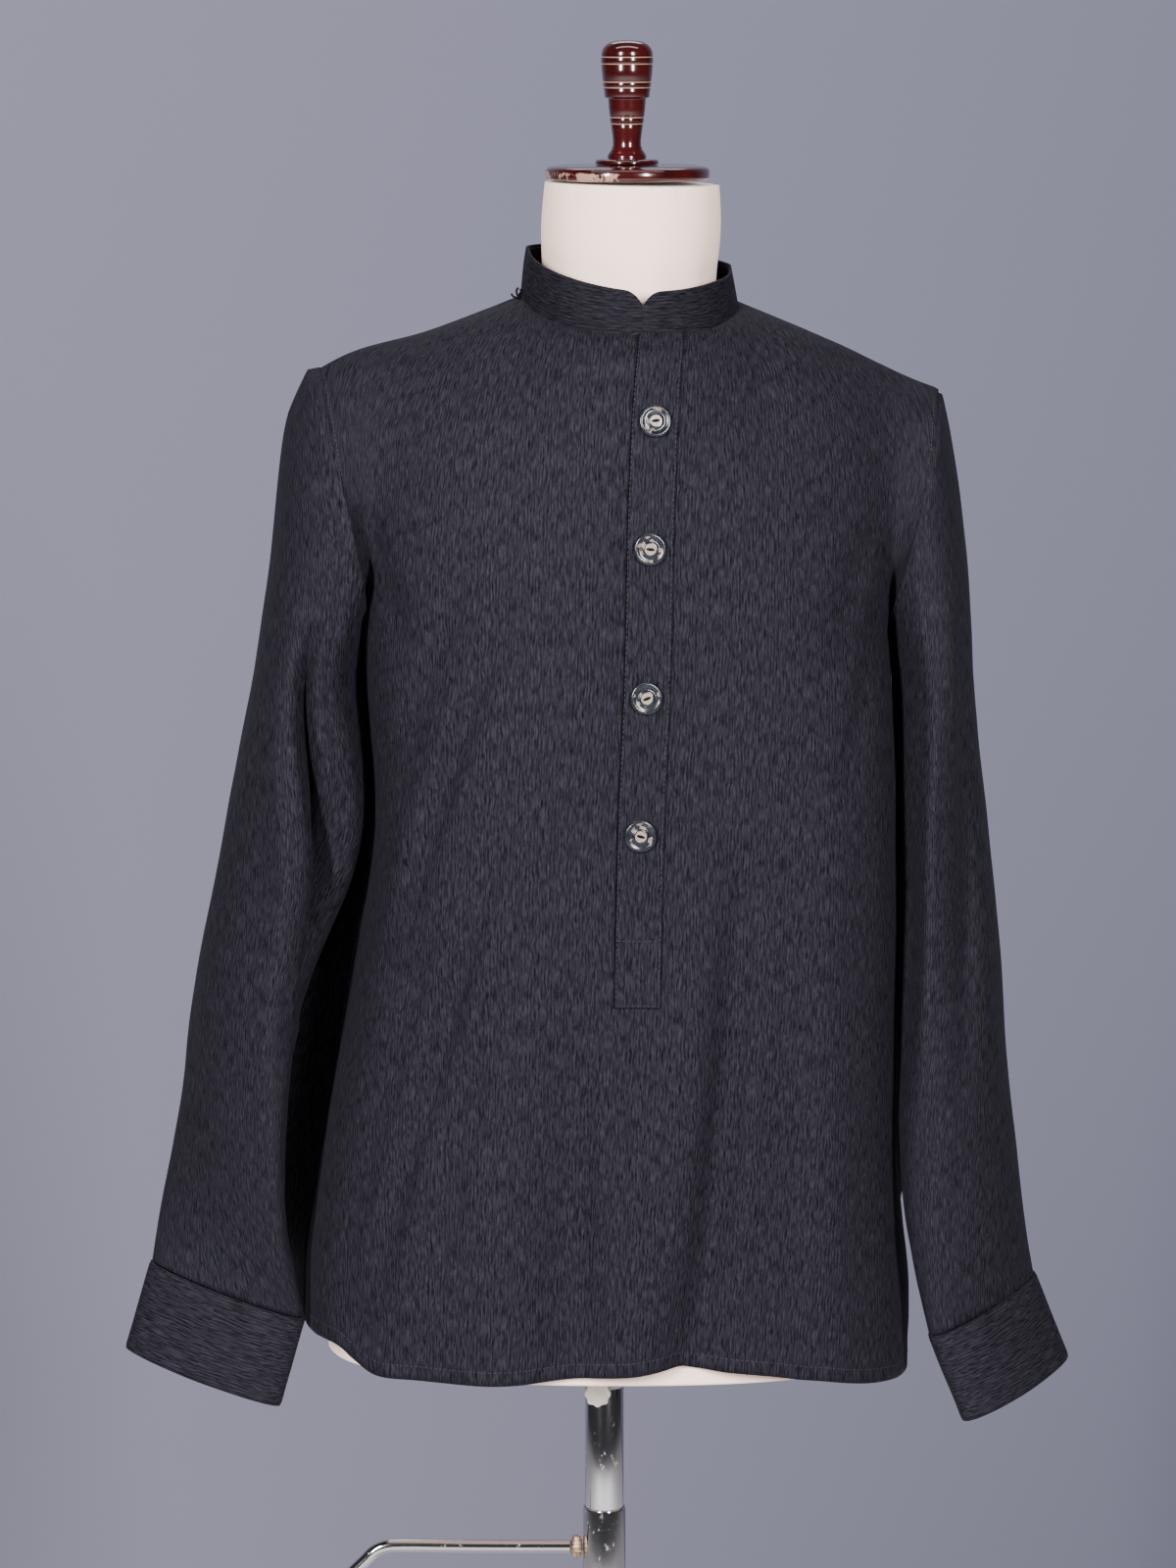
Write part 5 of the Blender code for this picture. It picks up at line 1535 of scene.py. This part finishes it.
# %% Stitches on the placket, hem, vents and seams
EDGE_STITCH = 1.5       # from the placket's edges
END_SEAM_UP = 43.0      # a second row of stitches across the placket's end
HEM_STITCH = 9.0
VENT_STITCH = 5.0
SIDE_STITCH = 2.2
ARMHOLE_STITCH = 3.2
thread = mottled("topstitch thread", (0.010, 0.009, 0.015), (0.026, 0.024, 0.036), 1800.0)
placket_normal = surface_normals(placket_points)
fine_front_normal = surface_normals(front_points)
fine_back_normal = surface_normals(back_points)
stitch_line("placket_stitching", [
    inset_path(placket_points, placket_normal, 0, EDGE_STITCH, 4),
    inset_path(placket_points, placket_normal, -1, EDGE_STITCH, 4),
    row_path(placket_points[:, 2:-2], placket_normal[:, 2:-2], 1.6),
    row_path(placket_points[:, 2:-2], placket_normal[:, 2:-2], END_SEAM_UP),
], thread)
vent_row = int(np.searchsorted([row_z(level) for level in front_levels], VENT_TOP_Z + 4.0))
grids = ((front_points, fine_front_normal), (back_points, fine_back_normal))
paths = [row_path(points[:12], normal[:12], HEM_STITCH) for points, normal in grids]
for points, normal in grids:
    paths += [inset_path(points, normal, edge, VENT_STITCH, 2, vent_row) for edge in (0, -1)]
paths += [inset_path(back_points, fine_back_normal, edge, SIDE_STITCH, vent_row, 120) for edge in (0, -1)]
stitch_line("hem_and_vent_stitching", paths, thread)

armhole_row = int(np.searchsorted(front_levels, 1.04))
last_rows = (len(front_points) - 2, len(back_points) - 1)
paths = []
for (points, normal), last_row in zip(grids, last_rows):
    paths += [inset_path(points, normal, edge, ARMHOLE_STITCH, armhole_row, last_row) for edge in (0, -1)]
stitch_line("armhole_stitching", paths, thread)

# %% Stitches on the collar and cuffs, in a paler thread
pale_thread = mottled("pale thread", (0.050, 0.048, 0.058), (0.120, 0.114, 0.130), 1800.0)
stitch_line("collar_stitching", [
    row_path(collar_points[:, 4:-4], collar_normal[:, 4:-4], COLLAR_LOW + 1.7),
    row_path(collar_points[::-1, 12:-12], collar_normal[::-1, 12:-12], 2.0),
], pale_thread, length=1.7, gap=1.3, thick=0.24)
cuff_paths = []
for name in SLEEVES:
    ring = np.concatenate((cuff_points[name], cuff_points[name][:, :1]), axis=1)
    middle = ring.mean(axis=1, keepdims=True)
    facing = (ring - middle) / np.linalg.norm(ring - middle, axis=2, keepdims=True)
    cuff_paths.append(row_path(ring, facing, 1.4))
stitch_line("cuff_stitching", cuff_paths, pale_thread, length=2.6, gap=0.5)

# %% [markdown]
# ### Loose threads
# Three short ends of sewing thread were left at the collar's foot. Each is a thin tube: rings of
# vertices along a rounded line, each ring square to the line, joined by faces and closed at the
# ends. They show how a small untidy thing makes an object look real.

# %% Loose threads at the collar
def thread_tube(shape, knots, radius=0.75, sides=6):
    line = rounded_line(knots, 5)
    rings = []
    for index, point in enumerate(line):
        way = Vector(line[min(index + 1, len(line) - 1)] - line[max(index - 1, 0)]).normalized()
        first = way.orthogonal().normalized()
        second = way.cross(first)
        rings.append([])
        for step in range(sides):
            bearing = 2 * math.pi * step / sides
            spot = Vector(point) + (first * math.cos(bearing) + second * math.sin(bearing)) * radius
            rings[-1].append(shape.verts.new(spot * MM))
    for low, high in zip(rings, rings[1:]):
        for step in range(sides):
            after = (step + 1) % sides
            shape.faces.new((low[step], low[after], high[after], high[step]))
    shape.faces.new(rings[0][::-1])
    shape.faces.new(rings[-1])


THREAD_ROOT = np.array((-54.0, -12.0, 1487.0))
THREAD_ENDS = (
    ((0, 0, 0), (-1.6, -0.8, 2.0), (-2.4, -1.0, 5.0), (-1.2, -1.2, 7.2)),
    ((0, 0, 0), (-2.0, -1.0, 0.6), (-4.6, -1.2, 1.6), (-5.6, -1.0, 3.4)),
    ((0.6, 0, 0), (-0.6, -1.0, 2.6), (0.8, -1.2, 4.8), (-0.2, -1.4, 6.0)),
)
shape = bmesh.new()
for knots in THREAD_ENDS:
    thread_tube(shape, THREAD_ROOT + np.array(knots, float))
ready(piece_from(shape, "collar_loose_threads"), thread_dark, [])
print("loose threads", len(THREAD_ENDS))

# %% [markdown]
# ## The dress form
# The form is a hard torso under a smooth cream cover. Its solid is only coarsely faceted, so a
# copy is rejoined into quads and rounded by a Subdivision Surface, which also draws it a hair
# inwards and so keeps it clear of the kurta.

# %% Smooth form
RIM_CREASE = 0.72       # keeps the neck's top edge from being rounded away
NECK_FOOT = 1.470
NECK_TOP = 1.565
NECK_FULLER = 0.0026    # the neck is a little fuller each side near the collar
source = nodes["dress_form"]
shape = bmesh.new()
shape.from_mesh(source.data)
bmesh.ops.remove_doubles(shape, verts=shape.verts, dist=1e-5)
bmesh.ops.join_triangles(shape, faces=shape.faces, angle_face_threshold=math.radians(60),
                         angle_shape_threshold=math.radians(60))
crease_layer = shape.edges.layers.float.new("crease_edge")
for edge in shape.edges:
    if len(edge.link_faces) == 2 and edge.calc_face_angle(0.0) > math.radians(50):
        edge[crease_layer] = RIM_CREASE
for vert in shape.verts:
    under_top = min(max((NECK_TOP - vert.co.z) / 0.045, 0.0), 1.0)
    near_collar = under_top * min(max((vert.co.z - NECK_FOOT) / 0.02, 0.0), 1.0)
    vert.co.x += math.copysign(NECK_FULLER, vert.co.x) * near_collar * min(abs(vert.co.x) / 0.03, 1.0)
form = piece_from(shape, "form_cover")
rounder = form.modifiers.new("round", "SUBSURF")
rounder.levels = 2
rounder.render_levels = 2
print("form", len(form.data.polygons), "faces before rounding")

# %% Cream jersey
jersey, tree, shader = new_material("cream jersey", 0.85)
where = object_place(tree)
knit = noise_at(tree, where, 1400.0, 2.0, stretch=(1.0, 1.0, 0.45))
soil = noise_at(tree, where, 6.0, 4.0)
put(shader.inputs["Base Color"], blend(tree, soil, (0.95, 0.695, 0.590), (0.98, 0.735, 0.635)))
shader.inputs["Sheen Weight"].default_value = 0.15
bump(tree, shader, knit, 0.0002, 0.35)
ready(form, jersey, ["dress_form"])

# %% [markdown]
# ## Finial and cap
# The finial and the cap under it are turned wood in red-brown lacquer. Fine tan lines run round
# the finial, each in a dark band, and stand in pairs where its profile steps. They are painted by
# height, which is simpler than cutting them. The lacquer is chipped to bare wood at the cap's rim.

# %% Lacquered wood
CAP_Z = 1562.0
CAP_X = 14.3
CAP_THICK = 9.6
FIT = 0.3               # between the stand's own pieces
FINIAL_Z = CAP_Z + CAP_THICK + FIT
FINIAL_X = 14.0


def chipped(tree, where, z):
    """A mask of worn places: low on the cap's rim, and only at its front left."""
    moved = add(tree, "ShaderNodeVectorMath", operation="SUBTRACT", i0=where, i1=(CAP_X * MM, 0, 0))
    flat = add(tree, "ShaderNodeSeparateXYZ", i0=moved.outputs[0])
    rim = between(tree, 0.0490, 0.0515, hypotenuse(tree, flat.outputs[0], flat.outputs[1]))
    low = between(tree, (CAP_Z + 6.6) * MM, (CAP_Z + 4.4) * MM, z)
    left = between(tree, 0.004, -0.012, flat.outputs[0])
    ahead = between(tree, 0.010, -0.012, flat.outputs[1])
    patchy = between(tree, 0.44, 0.56, noise_at(tree, where, 95.0, 5.0, 0.7))
    worn = times(tree, times(tree, rim, low), times(tree, left, ahead))
    worn = times(tree, worn, calc(tree, "MULTIPLY_ADD", patchy, 0.85, 0.15), clamp=True)
    return between(tree, 0.25, 0.45, worn)


def lacquer_material(name, bands=(), chips=False):
    made, tree, shader = new_material(name, 0.16)
    where = object_place(tree)
    z = add(tree, "ShaderNodeSeparateXYZ", i0=where).outputs[2]
    figure = noise_at(tree, where, 60.0, 4.0, 0.6, stretch=(1.0, 1.0, 0.18), distort=0.6)
    colour = blend(tree, between(tree, 0.3, 0.7, figure), (0.012, 0.0010, 0.0014), (0.040, 0.0028, 0.0034))
    for height in bands:
        near = away_from(tree, z, height * MM)
        dark = between(tree, 0.0019, 0.0008, near)
        line = between(tree, 0.00042, 0.00022, near)
        colour = blend(tree, dark, colour, (0.006, 0.0015, 0.0015))
        colour = blend(tree, line, colour, (0.36, 0.15, 0.105))
    rough = calc(tree, "MULTIPLY_ADD", figure, 0.12, 0.10)
    if chips:
        worn = chipped(tree, where, z)
        colour = blend(tree, worn, colour, (0.27, 0.155, 0.120))
        rough = calc(tree, "MULTIPLY_ADD", worn, 0.5, rough)
    put(shader.inputs["Base Color"], colour)
    put(shader.inputs["Roughness"], rough)
    shader.inputs["Coat Weight"].default_value = 0.6
    shader.inputs["Coat Roughness"].default_value = 0.06
    bump(tree, shader, figure, 0.0002, 0.15)
    return made


# %% Finial and cap
FINIAL_SHAPE = (
    (0.0, 0.0), (19.4, 0.0), (20.2, 0.7), (20.3, 1.6), (19.9, 2.6), (18.6, 3.1), (12.8, 3.2),
    (12.2, 3.6), (12.5, 4.4), (12.4, 5.6), (11.4, 7.4), (9.9, 9.6), (9.1, 12.0), (9.0, 14.5),
    (9.3, 18.0), (9.9, 22.5), (10.3, 25.3), (9.9, 26.0), (10.6, 26.7), (10.9, 29.4), (10.5, 30.1),
    (11.1, 30.9), (11.7, 36.0), (12.1, 41.6), (12.2, 42.6), (14.0, 42.9), (14.4, 43.6), (14.6, 46.0),
    (15.0, 48.6), (14.6, 49.3), (15.2, 50.0), (15.4, 52.2), (15.0, 52.9), (15.6, 53.7), (16.2, 59.0),
    (16.5, 63.7), (16.1, 64.5), (16.7, 65.3), (16.7, 68.1), (16.3, 68.9), (16.6, 69.7), (16.3, 72.2),
    (15.3, 74.8), (13.2, 77.1), (9.8, 78.8), (5.5, 79.6), (0.0, 79.8),
)
FINIAL_BANDS = (26.0, 30.1, 49.3, 52.9, 64.5, 68.9)
FINIAL_HIGH = 78.5      # the profile above is drawn a little taller, and brought down to this
squash = FINIAL_HIGH / FINIAL_SHAPE[-1][1]
finial_shape = [(radius, height * squash) for radius, height in FINIAL_SHAPE]
finial = spun("finial_turned", finial_shape, 72, at=(FINIAL_X, 0.0, FINIAL_Z))
bands = [FINIAL_Z + height * squash for height in FINIAL_BANDS]
ready(finial, lacquer_material("finial lacquer", bands), ["finial"])
CAP_SHAPE = (
    (0.0, 0.0), (49.6, 0.0), (51.4, 0.5), (52.3, 1.6), (52.6, 3.2), (52.6, 5.4), (52.1, 6.9),
    (51.0, 7.9), (48.5, 8.7), (43.0, 9.3), (30.0, CAP_THICK), (0.0, CAP_THICK),
)
cap = spun("neck_cap_turned", CAP_SHAPE, 128, at=(CAP_X, 0.0, CAP_Z))
ready(cap, lacquer_material("cap lacquer", chips=True), ["neck_cap"])
print("finial top at", FINIAL_Z + FINIAL_HIGH, "mm")

# %% [markdown]
# ## Pole
# The pole is two chromed tubes, one in the other. Chrome is a fully metallic shader that is nearly
# smooth, and its specks of rust lower both the gloss and the metal. Two noises are multiplied, so
# that the specks come in patches and not evenly.

# %% Chrome with specks of rust
def chrome_material(name, rust=0.5):
    made, tree, shader = new_material(name, 0.1, 1.0)
    where = object_place(tree)
    spots = noise_at(tree, where, 260.0, 4.0, 0.7, stretch=(1.0, 1.0, 0.6))
    patches = noise_at(tree, where, 22.0, 2.0)
    speck = times(tree, between(tree, 0.60, 0.68, spots), between(tree, 0.45, 0.62, patches))
    speck = times(tree, speck, rust, clamp=True)
    smear = noise_at(tree, where, 14.0, 3.0, stretch=(1.0, 1.0, 0.3))
    colour = blend(tree, smear, (0.55, 0.54, 0.55), (0.70, 0.69, 0.70))
    put(shader.inputs["Base Color"], blend(tree, speck, colour, (0.20, 0.085, 0.035)))
    rough = plus(tree, calc(tree, "MULTIPLY_ADD", smear, 0.10, 0.06), times(tree, speck, 0.5))
    put(shader.inputs["Roughness"], rough)
    put(shader.inputs["Metallic"], calc(tree, "SUBTRACT", 1.0, times(tree, speck, 0.8)))
    bump(tree, shader, speck, 0.0002, 0.4)
    return made


# %% Tubes
TUBE = 12.7
LOWER = 14.0
TUBE_FOOT = 630.0
POLE_TOP = 772.7
JOINT_Z = 690.0
BORE = 13.0
BASE_TOP = 8.0
UPPER_SHAPE = ((0, TUBE_FOOT), (TUBE, TUBE_FOOT), (TUBE, POLE_TOP), (0, POLE_TOP))
LOWER_SHAPE = (
    (0, 500), (BORE, 500), (BORE, JOINT_Z), (13.3, JOINT_Z + 0.6), (13.8, JOINT_Z + 0.3),
    (LOWER, JOINT_Z - 0.6), (LOWER, BASE_TOP + FIT), (0, BASE_TOP + FIT),
)
chrome = chrome_material("chrome")
upper_tube = soften(spun("pole_upper", UPPER_SHAPE, 64), 0.6)
ready(upper_tube, chrome, ["upper_tube"])
lower_tube = spun("pole_lower", LOWER_SHAPE, 64)
ready(lower_tube, chrome, ["lower_tube"])
print("tubes", 2 * TUBE, "and", 2 * LOWER, "mm across")

# %% [markdown]
# ## Fittings
# A grey plastic socket joins the pole to the form, and an ivory knob with a scalloped rim clamps
# it. The knob starts as a circle whose vertices are moved in and out in a wave, then it is
# extruded and its face inset. A rough bead of weld holds the trouser bar.

# %% Socket
SOCKET_SHAPE = (
    (0, 773.0), (13.9, 773.0), (14.5, 773.7), (14.6, 775.0), (14.6, 794.2), (14.2, 795.0), (0, 795.0),
)
plastic = mottled("grey plastic", (0.30, 0.30, 0.315), (0.42, 0.42, 0.43), 90.0, 4.0, 0.5, (0.0002, 0.3))
ready(spun("pole_socket_turned", SOCKET_SHAPE, 64), plastic, ["pole_socket"])
print("socket", len(SOCKET_SHAPE), "profile points")

# %% Clamp knob
KNOB_RADIUS = 8.0
KNOB_THICK = 7.0
KNOB_SCALLOPS = 8
KNOB_DEPTH = 0.07       # of its radius
KNOB_BACK = (-4.5, -14.9, 771.5)
ivory = mottled("ivory plastic", (0.62, 0.58, 0.52), (0.83, 0.80, 0.75), 220.0, 4.0, 0.42, (0.0002, 0.3))
shape = bmesh.new()
bmesh.ops.create_circle(shape, cap_ends=True, segments=96, radius=KNOB_RADIUS * MM)
for vertex in shape.verts:
    bearing = math.atan2(vertex.co.y, vertex.co.x)
    vertex.co *= 1.0 + KNOB_DEPTH * math.cos(KNOB_SCALLOPS * bearing)
pushed = bmesh.ops.extrude_face_region(shape, geom=list(shape.faces))
tops = [item for item in pushed["geom"] if isinstance(item, bmesh.types.BMVert)]
bmesh.ops.translate(shape, verts=tops, vec=(0.0, 0.0, KNOB_THICK * MM))
front_face = max(shape.faces, key=lambda face: face.calc_center_median().z)
bmesh.ops.inset_region(shape, faces=[front_face], thickness=2.0 * MM, depth=0.0)
bmesh.ops.translate(shape, verts=front_face.verts, vec=(0.0, 0.0, -0.8 * MM))
bmesh.ops.rotate(shape, verts=shape.verts, cent=(0, 0, 0), matrix=Matrix.Rotation(math.pi / 2, 3, "X"))
bmesh.ops.translate(shape, verts=shape.verts, vec=Vector(KNOB_BACK) * MM)
bmesh.ops.recalc_face_normals(shape, faces=shape.faces)
knob = piece_from(shape, "clamp_knob_scalloped", smooth=False)
ready(soften(knob, 0.5, 3, 30), ivory, ["clamp_knob"])
print("knob", len(knob.data.polygons), "faces,", KNOB_SCALLOPS, "scallops")

# %% Weld bead
BEAD_RADIUS = 7.0
BEAD_STRETCH = (0.6, 0.9, 1.15)
ROD_Z = 663.0
rusty, tree, shader = new_material("rusty weld", 0.45, 1.0)
ripple = noise_at(tree, object_place(tree), 420.0, 4.0, 0.6, stretch=(1.0, 1.0, 2.2))
tone = between(tree, 0.35, 0.65, ripple)
put(shader.inputs["Base Color"], blend(tree, tone, (0.30, 0.17, 0.10), (0.62, 0.47, 0.36)))
put(shader.inputs["Roughness"], calc(tree, "MULTIPLY_ADD", ripple, 0.5, 0.2))
bump(tree, shader, ripple, 0.0008, 0.8)
shape = bmesh.new()
bmesh.ops.create_uvsphere(shape, u_segments=32, v_segments=24, radius=BEAD_RADIUS * MM)
bmesh.ops.scale(shape, vec=BEAD_STRETCH, verts=shape.verts)
for vertex in shape.verts:
    vertex.co *= 1.0 + 0.05 * math.sin(vertex.co.z / MM * 2.1) + 0.04 * noise.noise(vertex.co * 260)
bmesh.ops.translate(shape, verts=shape.verts, vec=(-18.5 * MM, 0.0, ROD_Z * MM))
ready(piece_from(shape, "weld_rippled"), rusty, ["weld_bead"])
print("bead", BEAD_RADIUS, "mm")

# %% [markdown]
# ## Trouser bar and base
# The bar is a bent rod, so a curve with a round bevel draws it. It is made a mesh at once, because
# a finished piece keeps its place in its mesh. The base's edge is a profile with small steps.

# %% Trouser bar
ROD_RADIUS = 4.3
BAR_KNOTS = (
    (-22.9, 0, ROD_Z), (-60, 0, ROD_Z), (-100, 0, 663.2), (-132, 0, 663.6), (-144, 0, 662.8),
    (-152, 0, 659.5), (-158, 0, 653.5), (-168, 0, 643.5), (-179.5, 0, 629.0),
)
bar_route = rounded_line(BAR_KNOTS, 6)
line = bpy.data.curves.new("bar", "CURVE")
line.dimensions = "3D"
line.bevel_depth = ROD_RADIUS * MM
line.bevel_resolution = 8
line.use_fill_caps = True
run = line.splines.new("POLY")
run.points.add(len(bar_route) - 1)
for point, place in zip(run.points, bar_route):
    point.co = (*(Vector(place) * MM), 1.0)
holder = bpy.data.objects.new("bar", line)
bpy.context.scene.collection.objects.link(holder)
mesh = bpy.data.meshes.new_from_object(holder.evaluated_get(bpy.context.evaluated_depsgraph_get()))
bpy.data.objects.remove(holder)
mesh.shade_smooth()
bar = bpy.data.objects.new("trouser_bar_bent", mesh)
bpy.context.scene.collection.objects.link(bar)
mesh.materials.clear()
ready(bar, chrome, ["trouser_bar"])
print("bar", length_along(bar_route)[-1].round(), "mm long")

# %% Base plate
BASE_SHAPE = (
    (0, 0), (177.5, 0), (179.3, 0.5), (180, 1.8), (180, 5.4), (179.2, 7.2), (177, BASE_TOP),
    (60, BASE_TOP), (0, BASE_TOP),
)
steel, tree, shader = new_material("painted steel", 0.4, 0.0)
where = object_place(tree)
speckle = noise_at(tree, where, 700.0, 3.0)
scuff = noise_at(tree, where, 12.0, 5.0, 0.7)
tone = between(tree, 0.45, 0.75, scuff)
put(shader.inputs["Base Color"], blend(tree, tone, (0.22, 0.22, 0.235), (0.33, 0.33, 0.34)))
put(shader.inputs["Roughness"], calc(tree, "MULTIPLY_ADD", scuff, 0.3, 0.25))
bump(tree, shader, speckle, 0.0002, 0.4)
base = spun("base_plate_turned", BASE_SHAPE, 128)
ready(base, steel, ["base_plate"])
print("base", len(base.data.polygons), "faces")

# %% [markdown]
# ## The cut of each sheet
# The flat places and the girth of each sleeve and cuff are worked out once more, measured along
# the finished surface, round the whole of a tube, so they stay true when a fold is changed.
# Nothing is done with them after.


for name in SLEEVES:
    ring, flat, girth = tube_flat(sleeve_points[name])
    ring, flat, girth = tube_flat(cuff_points[name])

# %% Sizes
new_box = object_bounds()
for low, high in zip(cad_box, new_box):
    print([round((b - a) * 1000, 1) for a, b in zip(low, high)], "mm")
